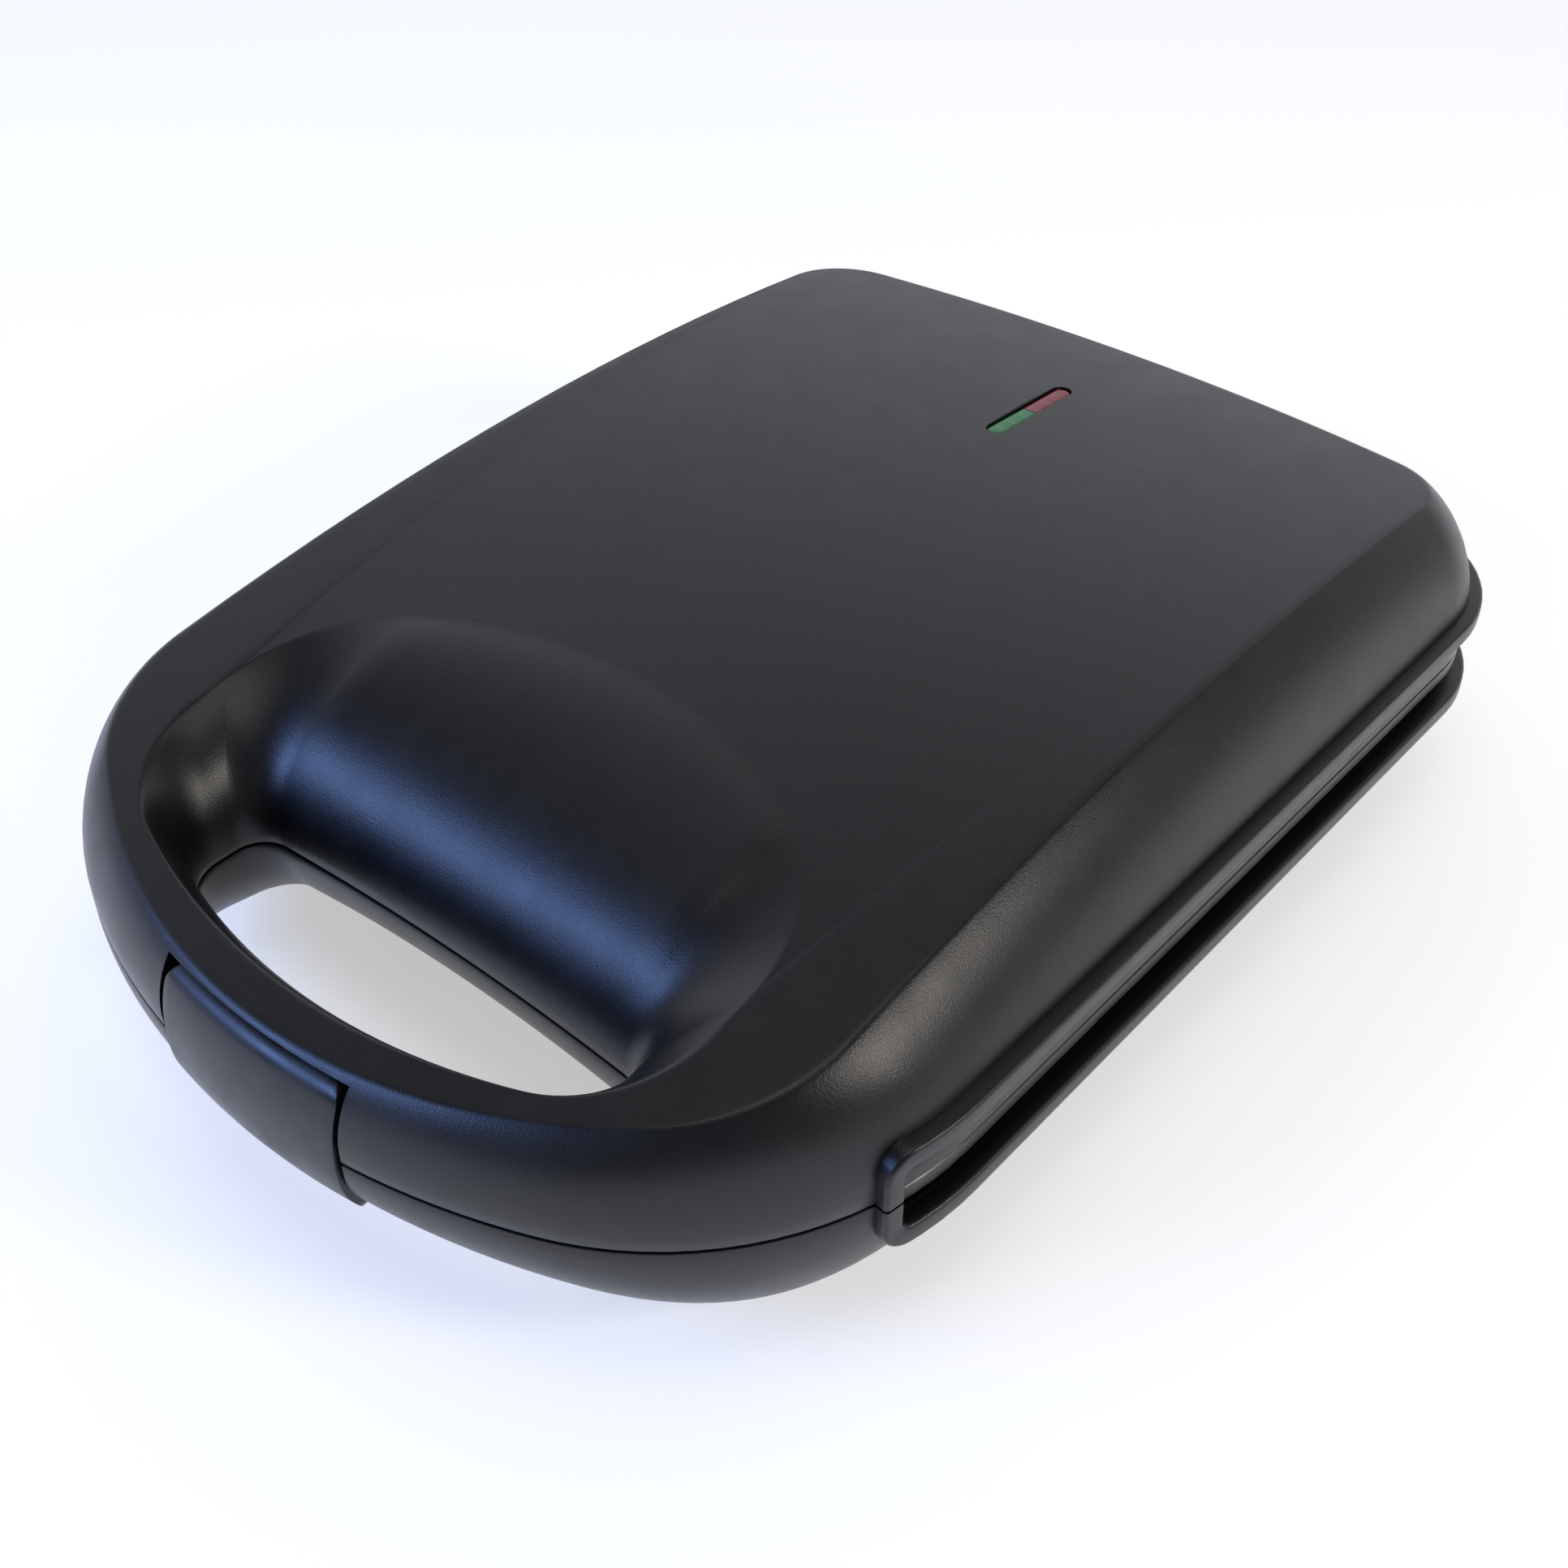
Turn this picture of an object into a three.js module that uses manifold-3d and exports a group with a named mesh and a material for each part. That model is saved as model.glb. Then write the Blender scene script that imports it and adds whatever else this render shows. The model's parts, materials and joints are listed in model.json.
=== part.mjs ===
// A clamshell sandwich maker: an arched lid and a base that close on each other around four pockets,
// with a through opening behind the handle, a swinging latch clip and a pinned rear hinge.
// Lengths are in millimetres, the handle points to -Y and +X is the right side seen from the front.
// Both halves are drawn upward from the closing plane; the base's pieces are mirrored at the end, and
// the whole model is then set down on its feet.
import * as THREE from 'three';
import { mergeVertices } from 'three/addons/utils/BufferGeometryUtils.js';
import Module from 'manifold-3d';

const wasm = await Module();
wasm.setup();

// Plan outlines. Each is a rounded shape with a bowed rear edge and a bowed front edge.
const PARTING = {
  half: 131, rear: 187.5, rearBow: 640, rearCorner: 42, front: -187.5, frontBow: 197, frontCorner: 88,
};
const CREASE = {
  half: 113, rear: 170, rearBow: 586, rearCorner: 22, front: -180.4, frontBow: 161.4, frontCorner: 48,
};
const SCOOP = {
  half: 88.4, rear: -56, rearBow: 131, rearCorner: 50, front: -170.8, frontBow: 193, frontCorner: 36,
};
const HOLE = {
  half: 68.4, rear: -124.5, rearBow: 900, rearCorner: 9, front: -163.1, frontBow: 193, frontCorner: 13,
};

// Heights and arches of the two mouldings, and their walls.
const CROWN = 49.5;
const CROWN_Y = 53.5;
const ARCH_RADIUS = 992;
const BELLY = 40;
const BELLY_Y = -60;
const BELLY_RADIUS = 345;
const WALL = 2.6;
const EDGE_GAP = 0.4;
const FLANK_SHARE = 0.15;
const SHOULDER_START = THREE.MathUtils.degToRad(37.2);
const RIM_START = THREE.MathUtils.degToRad(36);
const CLEARANCE = 0.3;
const OVERRUN = 5;
const MERGE_TOLERANCE = 0.0001;

// Steps along each stretch of an outline and across each stretch of the skin.
const FINE = { rear: 3, rearCorner: 5, side: 4, frontCorner: 6, front: 5, shoulder: 5, top: 4, scoop: 6 };
const COARSE = { rear: 2, rearCorner: 4, side: 2, frontCorner: 4, front: 3, shoulder: 3, top: 3, scoop: 4 };

// The raised bead over the side window, and the window under it.
const BEAD_RADIUS = 3;
const BEAD_Z = 12.6;
const BEAD_TURN = 5;
const BEAD_SIDES = 6;
const TURN_STEPS = 3;
const WINDOW_FRONT = -112.5;
const WINDOW_TOP = 10.2;
const WINDOW_DEPTH = 4;

// The inner frame that carries a cooking plate, with its lip in the window.
const FRAME_GAP = 0.2;
const LIP_INSET = 0.5;
const LIP_TOP = 5.2;
const LIP_BEVEL = 0.8;
const LAND_TOP = 3.2;
const LAND_FIT = 1.7;
const UPSTAND_INSET = 5;
const UPSTAND_WALL = 2;
const UPSTAND_TOP = 12.5;
const UPSTAND_REACH = 10;
const LEDGE = 4;
const LEDGE_WALL = 5;
const LEDGE_TOP = 7;

// The cooking plate: a flange with two by two pockets, each split by a diagonal cutting ridge.
const PLATE_WIDTH = 232;
const PLATE_LENGTH = 256;
const PLATE_Y = 38;
const PLATE_CORNER = 14;
const PLATE_GAP = 0.6;
const PLATE_FLANGE = 3.6;
const PLATE_FIT = 1;
const POCKET_DEPTH = CROWN * 0.232;
const POCKET_SPACING = 8;
const POCKET_MARGIN = 9;
const POCKET_CORNER = 12;
const POCKET_DRAFT = 5;
const POCKET_WALL = 3;
const RIDGE_WIDTH = 14;
const RIDGE_CREST = 1.6;
const RIDGE_DROP = 1.4;

// The tubular heater, its clamp strip and the reflector pan behind each plate.
const HEATER_RADIUS = 3.3;
const HEATER_SIDES = 6;
const HEATER_INSET = 42;
const HEATER_BEND = 16;
const HEATER_HALF_GAP = 18;
const HEATER_TAIL = 26;
const CLAMP_WIDTH = 12;
const CLAMP_SHEET = 1.2;
const CLAMP_POST = 3;
const CLAMP_POST_X = 30;
const REFLECTOR_INSET = 2.5;
const REFLECTOR_SHEET = 1;
const REFLECTOR_GAP = 0.7;

// The indicator lenses, their lamps and the tray that holds them.
const LENS_Y = 112.5;
const LENS_LENGTH = 40;
const LENS_WIDTH = 6;
const LENS_RECESS = 0.7;
const LENS_SEAT = 2.2;
const LENS_FLANGE = 2;
const LENS_FLANGE_SHEET = 1.2;
const LAMP_RADIUS = 2.5;
const LAMP_LENGTH = 15;
const TRAY_DEPTH = 7.5;
const TRAY_WALL = 1.5;

// The latch clip, its pin and the notch that it lies in.
const LATCH_HALF = 30;
const LATCH_PIVOT_DEPTH = 9;
const LATCH_PIVOT_Y = PARTING.front + LATCH_PIVOT_DEPTH;
const LATCH_PIVOT_Z = 12.5;
const LATCH_HEAD = 6.9;
const LATCH_PROUD = 0.6;
const LATCH_DEPTH = 9.5;
const LATCH_FOOT = -22.5;
const LATCH_TOE = 1.9;
const LATCH_BEND_FROM = -3;
const LATCH_BEND_TO = -15;
const LATCH_CORNER = 5;
const LATCH_GAP = 1.5;
const LATCH_PIN_RADIUS = 1.2;
const LATCH_PIN_REACH = 3;
const LATCH_STEPS = 4;
const LATCH_TURN = THREE.MathUtils.degToRad(155);
const LATCH_HOUSING_WALL = 5;
const LATCH_SEAT_WALL = 2;

// The rear hinge.
const HINGE_Y = 199;
const HINGE_X = 70;
const KNUCKLE_RADIUS = 6.5;
const KNUCKLE_WIDTH = 22;
const EAR_WIDTH = 8;
const EAR_GAP = 0.5;
const PIN_RADIUS = 2;
const ARM_REACH = 22;
const ARM_LOW = 12;
const ARM_HIGH = 17;

// The screws that hold the inner frames, and the posts that they go into.
const POST_X = 45;
const POST_FRONT_Y = -103.5;
const POST_REAR_Y = 175;
const POST_RADIUS = 3.5;
const SCREW_RADIUS = 1.5;
const SCREW_HEAD = 3;
const SCREW_HEAD_SHEET = 2;
const SCREW_LENGTH = 12;

// The base's electrical parts, its cord gland and its feet.
const THERMOSTAT_RADIUS = 12;
const THERMOSTAT_HEIGHT = 8;
const THERMOSTAT_NECK = 5;
const THERMOSTAT_X = 44;
const THERMOSTAT_Y = 44;
const FUSE_RADIUS = 2.6;
const FUSE_LENGTH = 18;
const BLOCK_LENGTH = 34;
const BLOCK_WIDTH = 15;
const BLOCK_HEIGHT = 8;
const BLOCK_BORE = 1.8;
const BLOCK_PITCH = 11;
const BLOCK_Y = 146;
const GLAND_Z = 22.5;
const GLAND_BOSS = 7.5;
const GLAND_BOSS_FROM = 176;
const GLAND_BOSS_TO = 189;
const GLAND_RADIUS = 5;
const GLAND_BORE = 3.3;
const GLAND_FLANGE = 6.5;
const GLAND_SHEET = 2;
const FOOT_X = PARTING.half * 0.69;
const FOOT_FRONT_Y = -46;
const FOOT_REAR_Y = 132;
const FOOT_RADIUS = 9;
const FOOT_HEIGHT = 5.7;
const FOOT_TAPER = 1.4;
const FOOT_STEM = 3.6;
const FOOT_STEM_REACH = 3;
const ROUND_SIDES = 16;
const SMALL_SIDES = 8;
const SCREW_SIDES = 6;

const TURN = Math.PI * 2;
const QUARTER = Math.PI / 2;

// Materials, in the colours of the photographed product.
const finish = (color, roughness, metalness = 0) => (
  new THREE.MeshStandardMaterial({ color, roughness, metalness }));
const SHELL_PLASTIC = finish(0x26272c, 0.55);
const FRAME_PLASTIC = finish(0x141417, 0.3);
const LATCH_PLASTIC = finish(0x2e333d, 0.42);
const NONSTICK = finish(0x1b1b1d, 0.35, 0.3);
const STEEL = finish(0xb4b6b8, 0.3, 1);
const HEATER_SHEATH = finish(0x6c6762, 0.45, 1);
const ALUMINIUM = finish(0xc8cacc, 0.35, 1);
const RED_LENS = finish(0x8a2a30, 0.15);
const GREEN_LENS = finish(0x1f6a34, 0.15);
const LAMP_GLASS = finish(0xe8d8c0, 0.1);
const CERAMIC = finish(0xe6e2d8, 0.5);
const TRAY_PLASTIC = finish(0xd8d8d4, 0.5);
const RUBBER = finish(0x17171a, 0.85);

// Turns a closed three.js geometry into a solid that can be joined and cut.
function solid(geometry) {
  const bare = geometry.index ? geometry.toNonIndexed() : geometry.clone();
  bare.deleteAttribute('normal');
  bare.deleteAttribute('uv');
  const merged = mergeVertices(bare, MERGE_TOLERANCE);
  return new wasm.Manifold(new wasm.Mesh({
    numProp: 3,
    vertProperties: Float32Array.from(merged.attributes.position.array),
    triVerts: Uint32Array.from(merged.index.array),
  }));
}

const join = (bodies) => bodies.reduce((a, b) => a.add(b));
const cut = (body, tools) => tools.reduce((a, b) => a.subtract(b), body);

// Adds a solid to the model as a named mesh. The base's pieces are drawn upward and mirrored here.
const model = new THREE.Group();
function place(name, body, material, mirrored = false) {
  const { vertProperties, triVerts } = body.getMesh();
  const positions = Float32Array.from(vertProperties);
  const index = Uint32Array.from(triVerts);
  if (mirrored) {
    for (let i = 0; i < index.length; i += 3) {
      [index[i], index[i + 1]] = [index[i + 1], index[i]];
    }
    for (let i = 2; i < positions.length; i += 3) {
      positions[i] = -positions[i];
    }
  }
  const geometry = new THREE.BufferGeometry();
  geometry.setAttribute('position', new THREE.BufferAttribute(positions, 3));
  geometry.setIndex(new THREE.BufferAttribute(index, 1));
  geometry.computeVertexNormals();
  const mesh = new THREE.Mesh(geometry, material);
  mesh.name = name;
  model.add(mesh);
}

function block(x0, x1, y0, y1, z0, z1) {
  const geometry = new THREE.BoxGeometry(x1 - x0, y1 - y0, z1 - z0);
  return solid(geometry.translate((x0 + x1) / 2, (y0 + y1) / 2, (z0 + z1) / 2));
}

function upright(radius, z0, z1, x = 0, y = 0, sides = ROUND_SIDES, topRadius = radius) {
  const geometry = new THREE.CylinderGeometry(topRadius, radius, z1 - z0, sides);
  return solid(geometry.rotateX(QUARTER).translate(x, y, (z0 + z1) / 2));
}

function alongX(radius, x0, x1, y, z, sides = ROUND_SIDES) {
  const geometry = new THREE.CylinderGeometry(radius, radius, x1 - x0, sides);
  return solid(geometry.rotateZ(QUARTER).translate((x0 + x1) / 2, y, z));
}

function alongY(radius, y0, y1, x, z, sides = ROUND_SIDES) {
  const geometry = new THREE.CylinderGeometry(radius, radius, y1 - y0, sides);
  return solid(geometry.translate(x, (y0 + y1) / 2, z));
}

function slab(shape, z0, z1) {
  const settings = { depth: z1 - z0, bevelEnabled: false, curveSegments: 3 };
  return new THREE.ExtrudeGeometry(shape, settings).translate(0, 0, z0);
}

const prism = (shape, z0, z1) => solid(slab(shape, z0, z1));

// An extruded profile drawn in Y and Z, running along X.
function sideGeometry(shape, x0, x1, steps = 1) {
  const settings = { depth: x1 - x0, bevelEnabled: false, steps, curveSegments: 4 };
  const geometry = new THREE.ExtrudeGeometry(shape, settings);
  const turned = new THREE.Matrix4().makeBasis(
    new THREE.Vector3(0, 1, 0), new THREE.Vector3(0, 0, 1), new THREE.Vector3(1, 0, 0));
  return geometry.applyMatrix4(turned).translate(x0, 0, 0);
}

function roundedRect(halfX, halfY, corner, x = 0, y = 0) {
  const shape = new THREE.Shape();
  shape.absarc(x + halfX - corner, y + halfY - corner, corner, 0, QUARTER);
  shape.absarc(x - halfX + corner, y + halfY - corner, corner, QUARTER, 2 * QUARTER);
  shape.absarc(x - halfX + corner, y - halfY + corner, corner, 2 * QUARTER, 3 * QUARTER);
  shape.absarc(x + halfX - corner, y - halfY + corner, corner, 3 * QUARTER, TURN);
  return shape;
}

// Joins rings of equal point counts into one closed skin. A wrapped skin joins its last ring to its
// first, and an open one gets a flat cap at each end.
function loft(rings, wrapped) {
  const count = rings[0].length;
  const index = [];
  const bands = wrapped ? rings.length : rings.length - 1;
  for (let r = 0; r < bands; r += 1) {
    const low = r * count;
    const high = ((r + 1) % rings.length) * count;
    for (let i = 0; i < count; i += 1) {
      const next = (i + 1) % count;
      index.push(low + i, low + next, high + next, low + i, high + next, high + i);
    }
  }
  if (!wrapped) {
    const last = (rings.length - 1) * count;
    for (let i = 1; i < count - 1; i += 1) {
      index.push(0, i + 1, i, last, last + i, last + i + 1);
    }
  }
  const geometry = new THREE.BufferGeometry();
  const positions = rings.flat().flatMap((p) => [p.x, p.y, p.z]);
  geometry.setAttribute('position', new THREE.Float32BufferAttribute(positions, 3));
  geometry.setIndex(index);
  return solid(geometry);
}

const atHeight = (points, z) => points.map((p) => new THREE.Vector3(p.x, p.y, z));

// A round bar swept along a list of points, with the same section carried from joint to joint.
function bar(points, radius, sides) {
  let across = null;
  const rings = points.map((p, i) => {
    const before = points[Math.max(i - 1, 0)];
    const after = points[Math.min(i + 1, points.length - 1)];
    const along = new THREE.Vector3().subVectors(after, before).normalize();
    across ??= new THREE.Vector3(1, 0, 0);
    if (i === 0 && Math.abs(along.x) > Math.SQRT1_2) {
      across.set(0, 1, 0);
    }
    across = across.clone().addScaledVector(along, -across.dot(along)).normalize();
    const over = new THREE.Vector3().crossVectors(along, across);
    return Array.from({ length: sides }, (_, k) => {
      const a = (TURN * k) / sides;
      const spot = p.clone().addScaledVector(across, radius * Math.cos(a));
      return spot.addScaledVector(over, radius * Math.sin(a));
    });
  });
  return loft(rings, false);
}

const inset = (o, by) => ({
  half: o.half - by,
  rear: o.rear - by,
  rearBow: o.rearBow - by,
  rearCorner: o.rearCorner - by,
  front: o.front + by,
  frontBow: o.frontBow - by,
  frontCorner: o.frontCorner - by,
});

// One half of an outline: bowed end, tangent corner, side, tangent corner, bowed end.
// The stage is 0 on the rear edge and rises to 1 around the rear corner.
function halfOutline(o, steps) {
  const rearX = o.half - o.rearCorner;
  const rearDrop = Math.sqrt((o.rearBow - o.rearCorner) ** 2 - rearX ** 2);
  const rearY = o.rear - o.rearBow + rearDrop;
  const rearAngle = Math.atan2(rearX, rearDrop);
  const frontX = o.half - o.frontCorner;
  const frontDrop = Math.sqrt((o.frontBow - o.frontCorner) ** 2 - frontX ** 2);
  const frontY = o.front + o.frontBow - frontDrop;
  const frontAngle = Math.atan2(frontX, frontDrop);
  const points = [];
  const add = (x, y, stage) => points.push({ x, y, stage });
  for (let i = 0; i < steps.rear; i += 1) {
    const a = (rearAngle * i) / steps.rear;
    add(o.rearBow * Math.sin(a), o.rear - o.rearBow * (1 - Math.cos(a)), 0);
  }
  for (let i = 0; i < steps.rearCorner; i += 1) {
    const a = rearAngle + ((QUARTER - rearAngle) * i) / steps.rearCorner;
    add(rearX + o.rearCorner * Math.sin(a), rearY + o.rearCorner * Math.cos(a), i / steps.rearCorner);
  }
  for (let i = 0; i < steps.side; i += 1) {
    add(o.half, rearY + ((frontY - rearY) * i) / steps.side, 1);
  }
  for (let i = 0; i < steps.frontCorner; i += 1) {
    const a = QUARTER - ((QUARTER - frontAngle) * i) / steps.frontCorner;
    add(frontX + o.frontCorner * Math.sin(a), frontY - o.frontCorner * Math.cos(a), 1);
  }
  for (let i = 0; i <= steps.front; i += 1) {
    const a = frontAngle * (1 - i / steps.front);
    add(o.frontBow * Math.sin(a), o.front + o.frontBow * (1 - Math.cos(a)), 1);
  }
  return points;
}

// The whole outline, counter-clockwise seen from above, from the rear centre over the left side.
function outline(o, steps = FINE) {
  const right = halfOutline(o, steps);
  const left = right.map((p) => ({ x: -p.x, y: p.y, stage: p.stage }));
  return [...left, ...right.slice(1, -1).reverse()];
}

const shapeOf = (o, steps) => new THREE.Shape(outline(o, steps).map((p) => new THREE.Vector2(p.x, p.y)));
const mix = (a, b, t) => a + (b - a) * t;

// Heights of the lid's arched top and of the base's underside, away from the closing plane.
const lidTop = (y) => CROWN - ARCH_RADIUS + Math.sqrt(ARCH_RADIUS ** 2 - (y - CROWN_Y) ** 2);
const baseTop = (y) => BELLY - BELLY_RADIUS + Math.sqrt(BELLY_RADIUS ** 2 - Math.min(y - BELLY_Y, 0) ** 2);

// A housing form as one ring-shaped solid: flank, rolled shoulder, crease, arched top, scoop and hand
// opening. Pulled in by a wall it is the housing's hollow.
function housing(top, low, by, steps) {
  const foot = outline(inset(PARTING, by), steps);
  const crease = outline(inset(CREASE, by), steps);
  const rim = outline(inset(SCOOP, -by), steps);
  const hole = outline(inset(HOLE, -by), steps);
  const height = (y) => top(y) - by;
  const rings = [atHeight(foot, low)];
  for (let k = 0; k <= steps.shoulder; k += 1) {
    const a = mix(QUARTER, SHOULDER_START, k / steps.shoulder);
    const out = (Math.sin(a) - Math.sin(SHOULDER_START)) / (1 - Math.sin(SHOULDER_START));
    const up = Math.cos(a) / Math.cos(SHOULDER_START);
    rings.push(foot.map((p, i) => {
      const high = height(crease[i].y);
      const z = mix(high * FLANK_SHARE, high, up);
      return new THREE.Vector3(mix(crease[i].x, p.x, out), mix(crease[i].y, p.y, out), z);
    }));
  }
  for (let k = 1; k < steps.top; k += 1) {
    rings.push(crease.map((c, i) => {
      const y = mix(c.y, rim[i].y, k / steps.top);
      return new THREE.Vector3(mix(c.x, rim[i].x, k / steps.top), y, height(y));
    }));
  }
  for (let k = 0; k <= steps.scoop; k += 1) {
    rings.push(rim.map((r, i) => {
      const start = RIM_START * r.stage;
      const a = mix(start, QUARTER, k / steps.scoop);
      const inward = (Math.sin(a) - Math.sin(start)) / (1 - Math.sin(start));
      const up = Math.cos(a) / Math.cos(start);
      const x = mix(r.x, hole[i].x, inward);
      return new THREE.Vector3(x, mix(r.y, hole[i].y, inward), mix(EDGE_GAP, height(r.y), up));
    }));
  }
  if (low < EDGE_GAP) {
    rings.push(atHeight(hole, low));
  }
  return loft(rings, true);
}

// The bead: around the rear from one window's front end to the other's, turned down at both ends.
function bead() {
  const end = WINDOW_FRONT - BEAD_RADIUS;
  const side = halfOutline(PARTING, FINE);
  const kept = side.filter((p) => p.y > end + BEAD_TURN);
  const before = kept[kept.length - 1];
  const after = side[kept.length];
  const along = (end - before.y) / (after.y - before.y);
  const endX = mix(before.x, after.x, along);
  const right = [[endX, end, EDGE_GAP]];
  for (let k = 0; k <= TURN_STEPS; k += 1) {
    const a = (QUARTER * k) / TURN_STEPS;
    right.push([endX, end + BEAD_TURN * (1 - Math.cos(a)), BEAD_Z - BEAD_TURN * (1 - Math.sin(a))]);
  }
  right.push(...kept.reverse().map((p) => [p.x, p.y, BEAD_Z]));
  const left = right.slice(0, -1).reverse().map(([x, y, z]) => [-x, y, z]);
  return bar([...right, ...left].map((p) => new THREE.Vector3(...p)), BEAD_RADIUS, BEAD_SIDES);
}

// The band of wall that is open between the lid's bead and the base's.
function windowCut() {
  const ring = cut(prism(shapeOf(inset(PARTING, -OVERRUN)), -OVERRUN, WINDOW_TOP),
    [prism(shapeOf(inset(PARTING, WINDOW_DEPTH)), -2 * OVERRUN, WINDOW_TOP + OVERRUN)]);
  const reach = PARTING.half + 2 * OVERRUN;
  return ring.intersect(block(-reach, reach, WINDOW_FRONT, PARTING.rear + 2 * OVERRUN, -2 * OVERRUN, CROWN));
}

// The latch clip's section in Y and Z, grown by the gap that its notch keeps.
const LATCH_FACE_Y = PARTING.front - LATCH_PROUD;
function latchSection(grown) {
  const head = LATCH_HEAD + grown;
  const face = LATCH_FACE_Y - grown;
  const back = LATCH_FACE_Y + LATCH_DEPTH + grown;
  const foot = LATCH_FOOT - grown;
  const toe = LATCH_FACE_Y + LATCH_DEPTH - LATCH_TOE - grown;
  const start = -Math.acos((back - LATCH_PIVOT_Y) / head);
  const tangentY = LATCH_PIVOT_Y + head * Math.cos(LATCH_TURN);
  const tangentZ = LATCH_PIVOT_Z + head * Math.sin(LATCH_TURN);
  const blendZ = tangentZ + ((tangentY - face) / Math.sin(LATCH_TURN)) * Math.cos(LATCH_TURN);
  const shape = new THREE.Shape();
  shape.moveTo(back, foot);
  shape.lineTo(back, 0);
  shape.absarc(LATCH_PIVOT_Y, LATCH_PIVOT_Z, head, start, LATCH_TURN, false);
  shape.quadraticCurveTo(face, blendZ, face, LATCH_BEND_FROM);
  shape.quadraticCurveTo(face, LATCH_BEND_TO, toe, foot);
  return shape;
}

// Bends a bar that runs along X to follow the bowed front of the handle.
function bowed(geometry) {
  const position = geometry.attributes.position;
  for (let i = 0; i < position.count; i += 1) {
    const sag = PARTING.frontBow - Math.sqrt(PARTING.frontBow ** 2 - position.getX(i) ** 2);
    position.setY(i, position.getY(i) + sag);
  }
  return geometry;
}

const latchBar = (half, grown) => bowed(sideGeometry(latchSection(grown), -half, half, LATCH_STEPS));
const latchNotch = () => latchBar(LATCH_HALF + LATCH_GAP, LATCH_GAP);

// The latch's front outline in X and Z, used to round its corners.
function latchFront() {
  const middle = (LATCH_PIVOT_Z + LATCH_HEAD + LATCH_FOOT) / 2;
  const halfHeight = LATCH_PIVOT_Z + LATCH_HEAD - middle;
  const shape = roundedRect(LATCH_HALF, halfHeight, LATCH_CORNER, 0, middle);
  const back = LATCH_PIVOT_Y + LATCH_HEAD + OVERRUN;
  const depth = back - LATCH_FACE_Y + OVERRUN;
  const geometry = new THREE.ExtrudeGeometry(shape, { depth, bevelEnabled: false, curveSegments: 3 });
  return solid(geometry.rotateX(QUARTER).translate(0, back, 0));
}

const latchPin = (grown) => {
  const reach = LATCH_HALF + LATCH_GAP + LATCH_PIN_REACH + grown;
  return alongX(LATCH_PIN_RADIUS + grown, -reach, reach, LATCH_PIVOT_Y, LATCH_PIVOT_Z, SMALL_SIDES);
};

// A stretch of handle as wide as the latch with its gap and a wall on each side.
function handleStretch(wall, grown) {
  const half = LATCH_HALF + LATCH_GAP + wall + grown;
  return block(-half, half, PARTING.front - OVERRUN, HOLE.front + OVERRUN, -2 * OVERRUN, CROWN);
}
const latchHousing = (grown) => handleStretch(LATCH_HOUSING_WALL, grown);

// The arm that reaches from a half's rear wall to a hinge knuckle.
function hingeArm(x0, x1) {
  const under = QUARTER / 9;
  const shape = new THREE.Shape([
    new THREE.Vector2(HINGE_Y - ARM_REACH, ARM_LOW),
    new THREE.Vector2(HINGE_Y - KNUCKLE_RADIUS * Math.cos(under), -KNUCKLE_RADIUS * Math.sin(under)),
    new THREE.Vector2(HINGE_Y + KNUCKLE_RADIUS / 2, KNUCKLE_RADIUS * Math.sin(QUARTER * 2 / 3)),
    new THREE.Vector2(HINGE_Y - ARM_REACH, ARM_HIGH),
  ]);
  return solid(sideGeometry(shape, x0, x1)).add(alongX(KNUCKLE_RADIUS, x0, x1, HINGE_Y, 0));
}

const EAR_FROM = KNUCKLE_WIDTH / 2 + EAR_GAP;
const EAR_TO = EAR_FROM + EAR_WIDTH;
const SIDES = [-1, 1];
const lidArms = () => SIDES.map((s) => (
  hingeArm(s * HINGE_X - KNUCKLE_WIDTH / 2, s * HINGE_X + KNUCKLE_WIDTH / 2)));
const baseArms = () => SIDES.flatMap((s) => [
  hingeArm(s * HINGE_X - EAR_TO, s * HINGE_X - EAR_FROM),
  hingeArm(s * HINGE_X + EAR_FROM, s * HINGE_X + EAR_TO),
]);
const hingePin = (s, grown) => {
  const reach = EAR_TO + grown;
  return alongX(PIN_RADIUS + grown, s * HINGE_X - reach, s * HINGE_X + reach, HINGE_Y, 0, SMALL_SIDES);
};

const POSTS = [POST_FRONT_Y, POST_REAR_Y].flatMap((y) => [[-POST_X, y], [POST_X, y]]);
const screwTip = LAND_TOP - SCREW_HEAD_SHEET + SCREW_LENGTH;

function frameScrew([x, y], grown) {
  const head = upright(SCREW_HEAD + grown, LAND_TOP - SCREW_HEAD_SHEET - grown, LAND_TOP, x, y, SCREW_SIDES);
  const shank = upright(SCREW_RADIUS + grown, LAND_TOP - CLEARANCE, screwTip + grown, x, y, SCREW_SIDES);
  return head.add(shank);
}

// A moulded half: outer form, bead and arms, hollowed, with the posts and the latch's seat left solid.
function shell(top, extras) {
  const outer = housing(top, EDGE_GAP, 0, FINE);
  const posts = join(POSTS.map(([x, y]) => (
    upright(POST_RADIUS, LIP_TOP + CLEARANCE, 2 * CROWN, x, y, SMALL_SIDES))));
  const hollow = cut(housing(top, -OVERRUN, WALL, COARSE), [posts, latchHousing(0)]);
  const body = join([outer.subtract(windowCut()), bead(), ...extras]);
  const screws = POSTS.map((p) => frameScrew(p, CLEARANCE));
  return cut(body, [hollow, ...screws, ...SIDES.map((s) => hingePin(s, CLEARANCE))]);
}

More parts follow.
